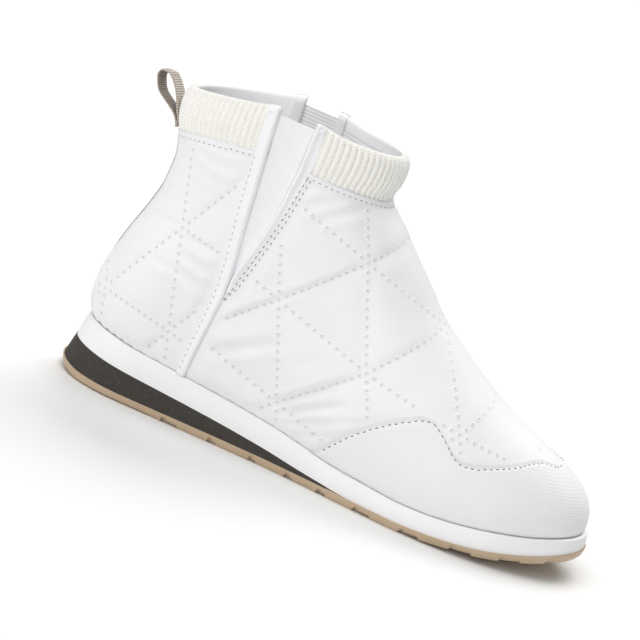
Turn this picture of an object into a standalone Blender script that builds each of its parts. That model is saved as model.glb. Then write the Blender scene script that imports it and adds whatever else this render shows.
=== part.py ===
"""Winter ankle boot for the right foot, standing empty on its sole.

Quilted pull-on upper, two elastic side gores with bound edges, a rib-knit
collar in two halves, a toe guard, a pull loop on a back tape, and a sole of
white foam, a dark heel wedge and a lugged gum outsole.

Tables are in millimetres: x runs forward from the back of the sole, y to the
left (the inner side of a right foot), z up from the floor.  The finished
meshes are in metres, centred on the middle of the boot's box at floor level.
"""
import bmesh
import bpy
import numpy as np
from mathutils import Matrix

MM = 0.001
GAP = 0.3                 # air between neighbouring pieces
SOLE_LENGTH = 271.0
HEEL_ROUND = (36.0, 2.1)  # length and power of the rounded sole end at the heel
TOE_ROUND = (75.0, 2.3)   # the same at the toe

# One row per station along the sole: its middle line and half width, then the
# heights of the lug faces and of the tops of the gum, the wedge and the foam.
SOLE_COLUMNS = ("x", "centre", "half_width", "bottom", "gum_top", "wedge_top", "foam_top")
SOLE_ROWS = (
    (0.0, 0.0, 33.5, 4.0, 6.6, 17.0, 29.4),
    (7.0, 0.0, 33.7, 1.2, 5.2, 16.8, 29.2),
    (15.0, 0.0, 34.0, 0.0, 4.4, 16.3, 28.6),
    (40.0, -0.5, 34.5, 0.0, 4.0, 14.6, 26.5),
    (75.0, -2.0, 33.8, 0.0, 4.0, 12.1, 23.5),
    (90.0, -3.3, 32.8, 0.0, 4.0, 10.8, 22.2),
    (110.0, -5.0, 32.0, 0.0, 4.0, 8.8, 20.0),
    (135.0, -5.8, 34.2, 0.0, 4.0, 5.9, 16.4),
    (147.0, -5.3, 36.8, 0.0, 4.0, 4.9, 14.9),
    (160.0, -4.6, 39.8, 0.0, 4.0, 4.1, 14.0),
    (185.0, -2.6, 45.3, 0.0, 4.0, 4.0, 12.8),
    (205.0, -0.6, 47.3, 1.3, 4.9, 4.8, 13.7),
    (225.0, 1.2, 47.4, 3.0, 6.8, 6.7, 15.9),
    (245.0, 3.2, 46.0, 6.2, 10.1, 10.0, 18.6),
    (258.0, 4.6, 44.6, 9.0, 13.0, 12.9, 21.0),
    (271.0, 6.0, 43.0, 12.4, 16.5, 16.4, 23.6),
)
SOLE_STATIONS = 44        # stations from heel to toe on each sole slab
WEDGE_END = 147.0
FOAM_EDGE = 1.2           # rounding of the foam's upper edge
HEEL_LEAN = 45.0          # length of the heel over which the sole leans forward

# How far each outline of the sole lies inside its plan: along the sides, and
# further at the back of the heel.
INSET_COLUMNS = ("edge", "side", "heel")
INSET_ROWS = (
    ("lug_face", 1.4, 0.4),
    ("lug_side", 0.5, 0.4),
    ("gum_top", 0.0, 0.4),
    ("wedge_foot", 0.3, 0.8),
    ("wedge_top", 0.9, 2.5),
    ("foam_foot", 0.9, 2.7),
    ("foam_side", 1.5, 4.2),
    ("foam_top", 2.1, 4.5),
)

# Gaps between the lugs: start and end along the sole, from heel to toe.
LUG_GAPS = ((62.0, 71.0), (86.5, 91.0), (108.0, 112.0), (127.2, 131.4), (144.2, 149.0),
            (163.4, 172.2), (187.3, 197.0), (212.0, 222.6), (235.4, 245.0), (256.0, 262.0))
LUG_DEPTH = 1.7
LUG_EDGE = 1.2            # height of the sloping foot of each lug
NOTCH_DEPTH = 2.4         # deeper notch at the heel end of each gap
NOTCH_LENGTH = 1.6
LUG_SLOPE = 0.9           # lean of the walls of each gap
CUT_BELOW = 3.0           # how far the cutting bodies reach below the sole
CUT_SIDE = 90.0           # and how far to each side, ahead and behind
CUT_AHEAD = 300.0
CUT_BEHIND = -60.0
CUT_MIDDLE = 5.0          # bodies for one side stop short of the middle plane

# One row per height of the leg and foot: rear and front of the outer wall on
# the middle plane, and the half width of the leg there.
LAST_COLUMNS = ("z", "back", "front", "leg_half")
LAST_ROWS = (
    (14.0, 9.0, 266.5, 36.5),
    (20.0, 8.8, 266.5, 36.5),
    (26.0, 7.9, 266.4, 36.5),
    (32.0, 5.5, 265.4, 36.5),
    (38.0, 4.1, 262.0, 36.5),
    (44.0, 3.5, 255.5, 36.5),
    (50.0, 3.7, 245.0, 36.5),
    (56.0, 4.6, 231.8, 36.4),
    (62.0, 5.7, 217.8, 36.3),
    (68.0, 7.0, 206.0, 36.2),
    (76.0, 9.3, 192.6, 36.0),
    (85.0, 12.3, 178.6, 35.7),
    (93.0, 14.7, 167.0, 35.4),
    (103.0, 16.9, 156.2, 35.2),
    (115.0, 17.4, 143.2, 35.0),
    (125.0, 15.4, 132.9, 35.2),
    (130.0, 13.9, 127.1, 35.4),
    (135.5, 12.5, 121.6, 35.7),
    (138.5, 11.8, 121.0, 36.0),
    (144.5, 11.0, 122.4, 36.4),
    (153.0, 12.0, 123.0, 36.7),
    (158.0, 12.6, 120.8, 36.6),
    (163.0, 13.2, 117.6, 36.4),
)
FOOT_SHARE = 0.945        # upper's width at the sole, as a share of the sole's
DOME = (2.6, 1.9)         # powers of the rounding over the forefoot
FOOT_BULGE = 1.2          # how far the padded wall swells above the sole
LEG_POWER = 2.3           # squareness of the leg's cross-section
LEG_BLEND = (58.0, 112.0)  # heights over which the foot turns into the leg
HEEL_SHIFT = (20.0, 110.0)  # where the upper's plan slides back onto the sole's
TOE_SHIFT = (160.0, 250.0)  # the same towards the toe
SWELL_REACH = 0.5         # share of the wall's height that swells
TOE_X = 266.5             # foremost point of the upper
RIDGE_Z = (26.0, 135.5)   # heights between which the ridge of the instep runs
WALL = 3.0
CUFF_WALL = 4.0

# Heights of the collar seam and of the collar's rim, by place along the boot.
COLLAR_COLUMNS = ("x", "seam", "rim")
COLLAR_ROWS = (
    (10.0, 127.6, 150.3),
    (30.0, 133.0, 154.6),
    (48.0, 136.3, 158.3),
    (61.0, 137.6, 161.0),
    (80.0, 138.0, 160.6),
    (97.0, 136.8, 158.4),
    (123.0, 135.6, 157.8),
)
WALL_COLUMNS = 36         # columns from heel to toe on each side of the wall
PANEL_ROWS = 15
CUFF_ROWS = 4
ROW_POWER = 1.2           # crowds the rows towards the sole
LEVEL_ROUNDS = 12         # rounds that settle a line on the curved wall

# Edges of the side opening for the elastic, by height.
GORE_COLUMNS = ("z", "rear", "front")
GORE_ROWS = (
    (66.5, 69.7, 69.9),
    (79.3, 68.4, 71.6),
    (96.0, 67.0, 75.0),
    (112.6, 65.2, 77.5),
    (125.5, 63.7, 79.2),
    (138.0, 62.5, 79.7),
    (158.0, 61.6, 79.7),
    (175.0, 60.8, 79.7),
)
GORE_TOP = 157.6
GORE_FOOT = 6.0           # the elastic ends this far above the point of the opening
EDGE_STEPS = 10           # points along each cut edge of the elastic and its binding
GORE_LAYER = (-2.7, -1.2)
BINDING_LAYER = (GAP, 1.6)
REAR_BINDING_WIDTH = 6.5
FRONT_BINDING_WIDTH = 4.5
# Front edge of the rear binding below the opening, down to the sole.
TAIL_COLUMNS = ("z", "x")
TAIL_ROWS = ((10.0, 64.6), (28.0, 65.4), (41.7, 66.4), (53.7, 67.8), (66.5, 69.7))

# Upper edge of the toe guard seen from the side.
GUARD_COLUMNS = ("x", "z")
GUARD_ROWS = ((124.0, 6.0), (133.9, 16.3), (142.7, 24.5), (150.0, 31.6), (157.2, 38.8), (164.0, 45.4),
              (170.0, 49.6), (175.0, 51.6), (180.0, 52.2), (184.6, 50.7), (188.4, 48.2), (193.3, 43.9),
              (197.8, 41.0), (202.2, 40.0), (208.7, 42.0), (219.5, 45.9), (230.0, 50.2), (241.0, 55.5),
              (252.0, 61.0))
GUARD_LAYER = (GAP, 1.5)

TAPE_HALF = 5.0           # half width of the webbing
TAPE_LAYER = (GAP, 1.4)
TAPE_Z = (10.0, 140.0)    # heights that hold the whole back seam
LOOP_COLUMNS = ("x", "z")
LOOP_ROWS = ((12.3, 130.6), (7.8, 133.7), (2.8, 137.2), (-1.5, 141.2), (-3.9, 145.8), (-3.2, 150.1),
             (0.0, 152.2), (3.5, 151.4), (6.4, 148.0), (8.8, 143.4), (10.5, 138.6), (12.0, 133.6))
LOOP_THICK = 1.3
LOOP_STEPS = 4            # points between two rows of the loop's path

INSOLE_CLEARANCE = 0.6
INSOLE_THICK = 4.0
INSOLE_TAPER = 1.0        # how far its upper edge lies inside its lower one

# Finish of each material: its linear colour and how rough it is.
METALLIC = 0.0
FINISHES = {
    "white_nylon": ((0.86, 0.86, 0.87), 0.55),
    "guard_weave": ((0.78, 0.78, 0.78), 0.70),
    "elastic": ((0.74, 0.74, 0.76), 0.75),
    "rib_knit": ((0.84, 0.84, 0.79), 0.85),
    "binding_tape": ((0.83, 0.83, 0.84), 0.65),
    "webbing": ((0.39, 0.34, 0.29), 0.80),
    "white_foam": ((0.82, 0.82, 0.82), 0.60),
    "black_foam": ((0.03, 0.03, 0.028), 0.75),
    "gum_rubber": ((0.46, 0.29, 0.15), 0.50),
    "insole_cloth": ((0.66, 0.66, 0.66), 0.85),
}


def column(rows, names, name):
    """One named column of a table as an array."""
    return np.array([row[names.index(name)] for row in rows], dtype=float)


def smooth_curve(knots, values, where):
    """Cubic through the knots that keeps rises and falls where the table has them."""
    where = np.clip(np.asarray(where, dtype=float), knots[0], knots[-1])
    step = np.diff(knots)
    secant = np.diff(values) / step
    slope = np.zeros_like(values)
    same = secant[:-1] * secant[1:] > 0.0
    mean = 2.0 * secant[:-1] * secant[1:] / np.where(same, secant[:-1] + secant[1:], 1.0)
    slope[1:-1] = np.where(same, mean, 0.0)
    slope[0], slope[-1] = secant[0], secant[-1]
    i = np.clip(np.searchsorted(knots, where, side="right") - 1, 0, len(step) - 1)
    t = (where - knots[i]) / step[i]
    return ((1 + 2 * t) * (1 - t) ** 2 * values[i] + t * (1 - t) ** 2 * step[i] * slope[i]
            + t ** 2 * (3 - 2 * t) * values[i + 1] - t ** 2 * (1 - t) * step[i] * slope[i + 1])


def ease(low, high, value):
    """0 below low, 1 above high, a smooth step between."""
    t = np.clip((value - low) / (high - low), 0.0, 1.0)
    return t * t * (3.0 - 2.0 * t)


def sole(name, x):
    return smooth_curve(column(SOLE_ROWS, SOLE_COLUMNS, "x"), column(SOLE_ROWS, SOLE_COLUMNS, name), x)


def last(name, z):
    return smooth_curve(column(LAST_ROWS, LAST_COLUMNS, "z"), column(LAST_ROWS, LAST_COLUMNS, name), z)


def collar(name, x):
    knots = column(COLLAR_ROWS, COLLAR_COLUMNS, "x")
    return smooth_curve(knots, column(COLLAR_ROWS, COLLAR_COLUMNS, name), x)


def gore_edge(name, z):
    return smooth_curve(column(GORE_ROWS, GORE_COLUMNS, "z"), column(GORE_ROWS, GORE_COLUMNS, name), z)


def end_round(distance, size):
    """Share of the full width left at a distance from a rounded end."""
    length, power = size
    left = 1.0 - np.clip(distance / length, 0.0, 1.0)
    return (1.0 - left ** power) ** (1.0 / power)


def sole_half(x):
    """Half width of the sole, closing to nothing at heel and toe."""
    return sole("half_width", x) * end_round(x, HEEL_ROUND) * end_round(SOLE_LENGTH - x, TOE_ROUND)


def ridge_height(x):
    """Height of the instep's ridge above a place along the boot."""
    z = np.linspace(*RIDGE_Z, 240)
    front = last("front", z)
    over = np.interp(x, front[::-1], z[::-1])
    return over + np.maximum(front[-1] - x, 0.0)


def wall_xy(tau, side, z):
    """Outer wall of the boot: tau runs from heel (0) to toe (1), side is -1 outer or 1 inner."""
    back, front = last("back", z), last("front", z)
    x = back + (front - back) * (1.0 - np.cos(np.pi * tau)) / 2.0
    plan_x = x - back * (1.0 - ease(*HEEL_SHIFT, x)) + (SOLE_LENGTH - TOE_X) * ease(*TOE_SHIFT, x)
    base = sole("foam_top", x)
    rise = np.clip((z - base) / np.maximum(ridge_height(x) - base, 1.0), 0.0, 1.0)
    dome = (1.0 - rise ** DOME[0]) ** (1.0 / DOME[1])
    ends = end_round(plan_x, HEEL_ROUND) * end_round(SOLE_LENGTH - plan_x, TOE_ROUND)
    swell = FOOT_BULGE * ends * np.sin(np.pi * np.clip(rise / SWELL_REACH, 0.0, 1.0))
    foot = (FOOT_SHARE * sole_half(plan_x) + swell) * dome
    along = np.abs(2.0 * (x - back) / (front - back) - 1.0)
    leg = last("leg_half", z) * np.maximum(1.0 - along ** LEG_POWER, 0.0) ** (1.0 / LEG_POWER)
    blend = ease(*LEG_BLEND, z)
    half = (1.0 - blend) * foot + blend * leg
    return x, (1.0 - blend) * sole("centre", plan_x) + side * half


def height_on_wall(tau, side, level):
    """Height at which each column of the wall meets a line given along the boot."""
    z = level(SOLE_LENGTH * tau)
    for _ in range(LEVEL_ROUNDS):
        z = level(wall_xy(tau, side, z)[0])
    return z


def wall_grid():
    """Points and outward normals of the wall: panel rows, then collar rows."""
    half = np.linspace(0.0, 1.0, WALL_COLUMNS + 1)
    tau = np.concatenate([half, half[-2:0:-1]])
    side = np.concatenate([-np.ones(WALL_COLUMNS + 1), np.ones(WALL_COLUMNS - 1)])
    foot_z = height_on_wall(tau, side, lambda x: sole("foam_top", x) + GAP)
    seam_z = height_on_wall(tau, side, lambda x: collar("seam", x))
    rim_z = height_on_wall(tau, side, lambda x: collar("rim", x))
    panel = [foot_z + (seam_z - foot_z) * v for v in np.linspace(0.0, 1.0, PANEL_ROWS) ** ROW_POWER]
    cuff = [seam_z + GAP + (rim_z - seam_z - GAP) * v for v in np.linspace(0.0, 1.0, CUFF_ROWS)]
    z = np.array(panel + cuff)
    x, y = wall_xy(np.broadcast_to(tau, z.shape), np.broadcast_to(side, z.shape), z)
    points = np.stack([x, y, z], axis=-1)
    round_loop = np.roll(points, -1, axis=1) - np.roll(points, 1, axis=1)
    normal = np.cross(round_loop, np.gradient(points, axis=0))
    for row in (0, PANEL_ROWS - 1, PANEL_ROWS, len(z) - 1):
        normal[row, :, 2] = 0.0
    normal[1, :, 2] *= 0.5
    return points, normal / np.linalg.norm(normal, axis=-1, keepdims=True)


def new_object(name, mesh, finish=None):
    obj = bpy.data.objects.new(name, mesh)
    bpy.context.scene.collection.objects.link(obj)
    if finish:
        colour, roughness = FINISHES[finish]
        material = bpy.data.materials.new(name + "_" + finish)
        material.use_nodes = True
        shader = material.node_tree.nodes["Principled BSDF"]
        shader.inputs["Base Color"].default_value = (*colour, 1.0)
        shader.inputs["Roughness"].default_value = roughness
        shader.inputs["Metallic"].default_value = METALLIC
        mesh.materials.append(material)
    return obj


def mesh_from(name, points, faces):
    mesh = bpy.data.meshes.new(name)
    mesh.from_pydata((np.asarray(points) * MM).tolist(), [], faces)
    shape = bmesh.new()
    shape.from_mesh(mesh)
    bmesh.ops.recalc_face_normals(shape, faces=shape.faces)
    shape.to_mesh(mesh)
    shape.free()
    return mesh


def tube(name, rows, finish):
    """Closed ring from a list of equal closed loops, the last joined to the first.

    The second half of the loops runs back over the first, so its triangles are
    split the other way: layers over the same wall then keep the same facets.
    """
    count = len(rows[0])
    faces = []
    for r in range(len(rows)):
        low, high = r * count, (r + 1) % len(rows) * count
        for i in range(count):
            j = (i + 1) % count
            if r < len(rows) // 2:
                faces += [(low + i, low + j, high + j), (low + i, high + j, high + i)]
            else:
                faces += [(low + i, low + j, high + i), (low + j, high + j, high + i)]
    return new_object(name, mesh_from(name, np.concatenate(rows), faces), finish)


def wall_shell(name, first, stop, layer, finish):
    """Ring of the wall's rows between two distances from its outer face."""
    inner, outer = layer
    rows = [POINTS[r] + outer * NORMALS[r] for r in range(first, stop)]
    rows += [POINTS[r] + inner * NORMALS[r] for r in reversed(range(first, stop))]
    return tube(name, rows, finish)


def slab(name, loops, shared_toe, finish):
    """Solid between outlines laid one above another.

    Each outline starts at the back of the heel, goes forward on the outer side
    and returns on the inner side; the caps are strips from side to side.
    """
    count = len(loops[0])
    last_pair = (count - 1) // 2
    faces = []
    for r in range(len(loops) - 1):
        low, high = r * count, (r + 1) * count
        for i in range(count):
            j = (i + 1) % count
            faces.append((low + i, low + j, high + j, high + i))
    for start in (0, (len(loops) - 1) * count):
        faces.append((start, start + 1, start + count - 1))
        for i in range(1, last_pair):
            faces.append((start + i, start + i + 1, start + count - i - 1, start + count - i))
        if shared_toe:
            faces.append((start + last_pair, start + last_pair + 1, start + last_pair + 2))
    return new_object(name, mesh_from(name, np.concatenate(loops), faces), finish)


def sole_loop(length, level, edge):
    """Sole outline moved inwards for one of its edges and laid at a height given along the sole."""
    x = length * (1.0 - np.cos(np.pi * np.linspace(0.0, 1.0, SOLE_STATIONS + 1))) / 2.0
    if length < SOLE_LENGTH:
        x = length * (1.0 - np.cos(np.pi / 2.0 * np.linspace(0.0, 1.0, SOLE_STATIONS // 2 + 1)))
    back_x = x[-2:0:-1] if length == SOLE_LENGTH else x[:0:-1]
    outline = np.concatenate([np.stack([x, sole("centre", x) - sole_half(x)], axis=1),
                              np.stack([back_x, sole("centre", back_x) + sole_half(back_x)], axis=1)])
    run = np.roll(outline, -1, axis=0) - np.roll(outline, 1, axis=0)
    inward = np.stack([-run[:, 1], run[:, 0]], axis=1)
    if length < SOLE_LENGTH:
        inward[len(x) - 1:len(x) + 1, 0] = 0.0
    side, heel = next(row[1:] for row in INSET_ROWS if row[0] == edge)
    inset = side + heel * (1.0 - ease(0.0, HEEL_LEAN, outline[:, :1]))
    moved = outline + inset * inward / np.linalg.norm(inward, axis=1, keepdims=True)
    return np.column_stack([moved, level(moved[:, 0])])


def prism(name, outline, low, high, axis="y"):
    """Cutting body: an outline drawn from the side and drawn out across the boot."""
    count = len(outline)
    if axis == "y":
        near = [(x, low, z) for x, z in outline]
        far = [(x, high, z) for x, z in outline]
    else:
        near = [(low, y, z) for y, z in outline]
        far = [(high, y, z) for y, z in outline]
    faces = [tuple(range(count)), tuple(range(2 * count - 1, count - 1, -1))]
    faces += [(i, (i + 1) % count, count + (i + 1) % count, count + i) for i in range(count)]
    return mesh_from(name, near + far, faces)


def cutter(name, meshes):
    """One hidden object from one or more cutting bodies."""
    shape = bmesh.new()
    for mesh in meshes:
        shape.from_mesh(mesh)
        bpy.data.meshes.remove(mesh)
    joined = bpy.data.meshes.new(name)
    shape.to_mesh(joined)
    shape.free()
    obj = new_object(name, joined)
    obj.hide_render = True
    obj.display_type = "WIRE"
    return obj


def combine(obj, tool, operation):
    step = obj.modifiers.new(operation.lower(), "BOOLEAN")
    step.operation = operation
    step.solver = "EXACT"
    step.object = tool


def band(left, right, heights):
    """Side outline between two edges given at the same heights."""
    return list(zip(left, heights)) + list(zip(right[::-1], heights[::-1]))


def rear_edge(z):
    """Front edge of the rear binding: along the opening, then down to the sole."""
    tail = smooth_curve(column(TAIL_ROWS, TAIL_COLUMNS, "z"), column(TAIL_ROWS, TAIL_COLUMNS, "x"), z)
    return np.where(z > GORE_ROWS[0][0], gore_edge("rear", z), tail)


def lug_gap(start, end):
    """Side outline of one gap: a notch at its heel end, then a level roof."""
    notch_end = start + NOTCH_LENGTH
    rows = ((start - LUG_SLOPE, -CUT_BELOW), (start, NOTCH_DEPTH), (notch_end, NOTCH_DEPTH),
            (notch_end + LUG_SLOPE, LUG_DEPTH), (end - LUG_SLOPE, LUG_DEPTH), (end + LUG_SLOPE, -CUT_BELOW))
    return [(x, float(sole("bottom", x)) + rise) for x, rise in rows]


def build_sole():
    gum = [sole_loop(SOLE_LENGTH, lambda x: sole("bottom", x), "lug_face"),
           sole_loop(SOLE_LENGTH, lambda x: sole("bottom", x) + LUG_EDGE, "lug_side"),
           sole_loop(SOLE_LENGTH, lambda x: sole("gum_top", x), "gum_top")]
    outsole = slab("outsole", gum, True, "gum_rubber")
    gaps = [prism("gap", lug_gap(*ends), -CUT_SIDE, CUT_SIDE) for ends in LUG_GAPS]
    combine(outsole, cutter("lug_gaps", gaps), "DIFFERENCE")

    wedge = [sole_loop(WEDGE_END, lambda x: sole("gum_top", x) + GAP, "wedge_foot"),
             sole_loop(WEDGE_END, lambda x: sole("wedge_top", x), "wedge_top")]
    slab("heel_wedge", wedge, False, "black_foam")

    def under_foam(x):
        return np.maximum(sole("gum_top", x), sole("wedge_top", x)) + GAP

    foam = [sole_loop(SOLE_LENGTH, under_foam, "foam_foot"),
            sole_loop(SOLE_LENGTH, lambda x: sole("foam_top", x) - FOAM_EDGE, "foam_side"),
            sole_loop(SOLE_LENGTH, lambda x: sole("foam_top", x), "foam_top")]
    slab("midsole", foam, True, "white_foam")

    edge = POINTS[0] - (WALL + INSOLE_CLEARANCE) * NORMALS[0]
    inset = edge - INSOLE_TAPER * NORMALS[0]
    slab("insole", [edge, inset + np.array([0.0, 0.0, INSOLE_THICK])], True, "insole_cloth")


def build_upper():
    heights = column(GORE_ROWS, GORE_COLUMNS, "z")
    rear, front = gore_edge("rear", heights), gore_edge("front", heights)
    upper = wall_shell("upper", 0, PANEL_ROWS, (-WALL, 0.0), "white_nylon")
    cuff_back = wall_shell("cuff_back", PANEL_ROWS, len(POINTS), (-CUFF_WALL, 0.0), "rib_knit")
    cuff_front = wall_shell("cuff_front", PANEL_ROWS, len(POINTS), (-CUFF_WALL, 0.0), "rib_knit")
    cuts = (
        (upper, "gore_opening", band(rear, front, heights), "DIFFERENCE"),
        (cuff_back, "rear_half", band(np.full_like(rear, CUT_BEHIND), rear, heights), "INTERSECT"),
        (cuff_front, "front_half", band(front, np.full_like(front, CUT_AHEAD), heights), "INTERSECT"),
    )
    for piece, name, outline, operation in cuts:
        combine(piece, cutter(name, [prism(name, outline, -CUT_SIDE, CUT_SIDE)]), operation)

    gore_z = np.linspace(GORE_ROWS[0][0] + GORE_FOOT, GORE_TOP, EDGE_STEPS)
    rear_z = np.linspace(TAIL_ROWS[0][0], GORE_ROWS[-1][0], 2 * EDGE_STEPS)
    front_z = np.linspace(GORE_ROWS[0][0], GORE_ROWS[-1][0], EDGE_STEPS)
    front_x = gore_edge("front", front_z) + GAP
    panels = (
        ("gore", GORE_LAYER, "elastic",
         band(gore_edge("rear", gore_z) + GAP, gore_edge("front", gore_z) - GAP, gore_z)),
        ("binding_rear", BINDING_LAYER, "binding_tape",
         band(rear_edge(rear_z) - REAR_BINDING_WIDTH, rear_edge(rear_z), rear_z)),
        ("binding_front", BINDING_LAYER, "binding_tape",
         band(front_x, front_x + FRONT_BINDING_WIDTH, front_z)),
    )
    for name, layer, finish, outline in panels:
        for side, low, high in (("lateral", -CUT_SIDE, -CUT_MIDDLE), ("medial", CUT_MIDDLE, CUT_SIDE)):
            piece = wall_shell(name + "_" + side, 0, len(POINTS), layer, finish)
            tool = cutter(name + "_" + side + "_outline", [prism("outline", outline, low, high)])
            combine(piece, tool, "INTERSECT")

    guard = wall_shell("toe_guard", 0, PANEL_ROWS, GUARD_LAYER, "guard_weave")
    first, final = GUARD_ROWS[0], GUARD_ROWS[-1]
    edge = list(GUARD_ROWS) + [(CUT_AHEAD, final[1]), (CUT_AHEAD, 0.0), (first[0], 0.0)]
    combine(guard, cutter("guard_outline", [prism("outline", edge, -CUT_SIDE, CUT_SIDE)]), "INTERSECT")


def build_webbing():
    tape = wall_shell("back_tape", 0, PANEL_ROWS, TAPE_LAYER, "webbing")
    low, high = TAPE_Z
    across = [(-TAPE_HALF, low), (TAPE_HALF, low), (TAPE_HALF, high), (-TAPE_HALF, high)]
    tool = cutter("tape_outline", [prism("outline", across, CUT_BEHIND, HEEL_LEAN, axis="x")])
    combine(tape, tool, "INTERSECT")

    knots = np.arange(-2, len(LOOP_ROWS) + 3)
    at = np.arange(len(LOOP_ROWS) * LOOP_STEPS) / LOOP_STEPS
    rounds = [np.take(column(LOOP_ROWS, LOOP_COLUMNS, name), knots, mode="wrap") for name in LOOP_COLUMNS]
    path = np.stack([smooth_curve(knots, values, at) for values in rounds], axis=1)
    run = np.roll(path, -1, axis=0) - np.roll(path, 1, axis=0)
    across = np.stack([run[:, 1], -run[:, 0]], axis=1) / np.linalg.norm(run, axis=1, keepdims=True)
    rows = []
    for y, shift in ((-TAPE_HALF, -0.5), (TAPE_HALF, -0.5), (TAPE_HALF, 0.5), (-TAPE_HALF, 0.5)):
        moved = path + shift * LOOP_THICK * across
        rows.append(np.column_stack([moved[:, 0], np.full(len(moved), y), moved[:, 1]]))
    tube("pull_loop", rows, "webbing")


def centre_on_floor():
    """Move every mesh so the middle of the finished boot's box is over the origin."""
    depsgraph = bpy.context.evaluated_depsgraph_get()
    corners = []
    for obj in bpy.context.scene.objects:
        if not obj.hide_render:
            corners += [v.co for v in obj.evaluated_get(depsgraph).data.vertices]
    corners = np.array(corners)
    low, high = corners.min(axis=0), corners.max(axis=0)
    shift = Matrix.Translation((-(low[0] + high[0]) / 2.0, -(low[1] + high[1]) / 2.0, -low[2]))
    for obj in bpy.context.scene.objects:
        obj.data.transform(shift)


for old in list(bpy.data.objects):
    bpy.data.objects.remove(old, do_unlink=True)
POINTS, NORMALS = wall_grid()
build_sole()
build_upper()
build_webbing()
centre_on_floor()
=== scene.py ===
# %% [markdown]
# # A quilted winter ankle boot
#
# The boot is a right shoe: a quilted white nylon upper, elastic gores in its sides, a collar of ivory
# rib knit, a woven guard over the toe, and a sole of white foam, a dark wedge and gum rubber.
# The solid model gives every piece its place.  Here each visible piece is drawn again as a fine surface,
# worked out from the same few sizes, and gets the finish of its real material.

import bmesh
import bpy
import numpy as np
from mathutils import Matrix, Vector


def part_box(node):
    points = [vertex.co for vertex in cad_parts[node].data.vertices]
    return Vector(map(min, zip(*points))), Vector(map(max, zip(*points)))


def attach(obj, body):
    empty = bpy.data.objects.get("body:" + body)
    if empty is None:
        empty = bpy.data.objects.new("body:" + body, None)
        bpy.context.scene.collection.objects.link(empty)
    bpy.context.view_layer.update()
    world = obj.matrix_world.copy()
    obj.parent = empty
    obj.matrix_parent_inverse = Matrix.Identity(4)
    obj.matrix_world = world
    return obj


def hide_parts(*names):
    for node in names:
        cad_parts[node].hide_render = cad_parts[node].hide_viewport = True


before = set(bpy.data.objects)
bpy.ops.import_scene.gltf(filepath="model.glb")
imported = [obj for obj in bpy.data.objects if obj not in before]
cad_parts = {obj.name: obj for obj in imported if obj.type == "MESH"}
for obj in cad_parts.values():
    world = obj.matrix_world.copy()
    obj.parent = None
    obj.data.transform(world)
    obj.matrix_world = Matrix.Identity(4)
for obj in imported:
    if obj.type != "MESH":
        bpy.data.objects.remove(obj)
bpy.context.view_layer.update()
MM = 0.001

# %% [markdown]
# ## The sizes of the boot
#
# A shoemaker works from a last and a few lines drawn on it.  The tables below are those lines, in
# millimetres: x runs forward from the back of the sole, y to the left and z up from the floor.  A smooth
# curve through each column gives the size at any place, so a surface can be as fine as it needs to be.

# %% Tables of the sole and the last
SOLE_LENGTH = 271.0
# Rounded heel and toe: length and power of the curve.
HEEL_ROUND = (36.0, 2.1)
TOE_ROUND = (75.0, 2.3)
SOLE_COLUMNS = ("x", "centre", "half_width", "bottom", "gum_top", "wedge_top", "foam_top")
SOLE_ROWS = (
    (0, 0, 33.5, 4, 6.6, 17, 29.4), (7, 0, 33.7, 1.2, 5.2, 16.8, 29.2), (15, 0, 34, 0, 4.4, 16.3, 28.6),
    (40, -0.5, 34.5, 0, 4, 14.6, 26.5), (75, -2, 33.8, 0, 4, 12.1, 23.5),
    (90, -3.3, 32.8, 0, 4, 10.8, 22.2), (110, -5, 32, 0, 4, 8.8, 20),
    (135, -5.8, 34.2, 0, 4, 5.9, 16.4), (147, -5.3, 36.8, 0, 4, 4.9, 14.9),
    (160, -4.6, 39.8, 0, 4, 4.1, 14), (185, -2.6, 45.3, 0, 4, 4, 12.8),
    (205, -0.6, 47.3, 1.3, 4.9, 4.8, 13.7), (225, 1.2, 47.4, 3, 6.8, 6.7, 15.9),
    (245, 3.2, 46, 6.2, 10.1, 10, 18.6), (258, 4.6, 44.6, 9, 13, 12.9, 21),
    (271, 6, 43, 12.4, 16.5, 16.4, 23.6),
)
LAST_COLUMNS = ("z", "back", "front", "leg_half")
LAST_ROWS = (
    (14, 9, 266.5, 36.5), (20, 8.8, 266.5, 36.5), (26, 7.9, 266.4, 36.5), (32, 5.5, 265.4, 36.5),
    (38, 4.1, 262, 36.5), (44, 3.5, 255.5, 36.5), (50, 3.7, 245, 36.5), (56, 4.6, 231.8, 36.4),
    (62, 5.7, 217.8, 36.3), (68, 7, 206, 36.2), (76, 9.3, 192.6, 36), (85, 12.3, 178.6, 35.7),
    (93, 14.7, 167, 35.4), (103, 16.9, 156.2, 35.2), (115, 17.4, 143.2, 35), (125, 15.4, 132.9, 35.2),
    (130, 13.9, 127.1, 35.4), (135.5, 12.5, 121.6, 35.7), (138.5, 11.8, 121, 36),
    (144.5, 11, 122.4, 36.4), (153, 12, 123, 36.7), (158, 12.6, 120.8, 36.6), (163, 13.2, 117.6, 36.4),
)
COLLAR_COLUMNS = ("x", "seam", "rim")
COLLAR_ROWS = (
    (10, 127.6, 150.3), (30, 133, 154.6), (48, 136.3, 158.3), (61, 137.6, 161), (80, 138, 160.6),
    (97, 136.8, 158.4), (123, 135.6, 157.8),
)
GORE_COLUMNS = ("z", "rear", "front")
GORE_ROWS = (
    (66.5, 68.4, 68.5), (76, 68.2, 68.7), (88.4, 67.3, 71.4), (101.9, 65.7, 74.8), (112.6, 64.8, 76.7),
    (125.5, 63.8, 78.1), (138, 62.8, 79.2), (158, 61.4, 79.6), (175, 60.8, 79.7),
)
TAIL_COLUMNS = ("z", "x")
TAIL_ROWS = ((10, 64), (28, 65.2), (41.7, 66.2), (53.7, 67.3), (66.5, 68.4))
GUARD_COLUMNS = ("x", "z")
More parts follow.
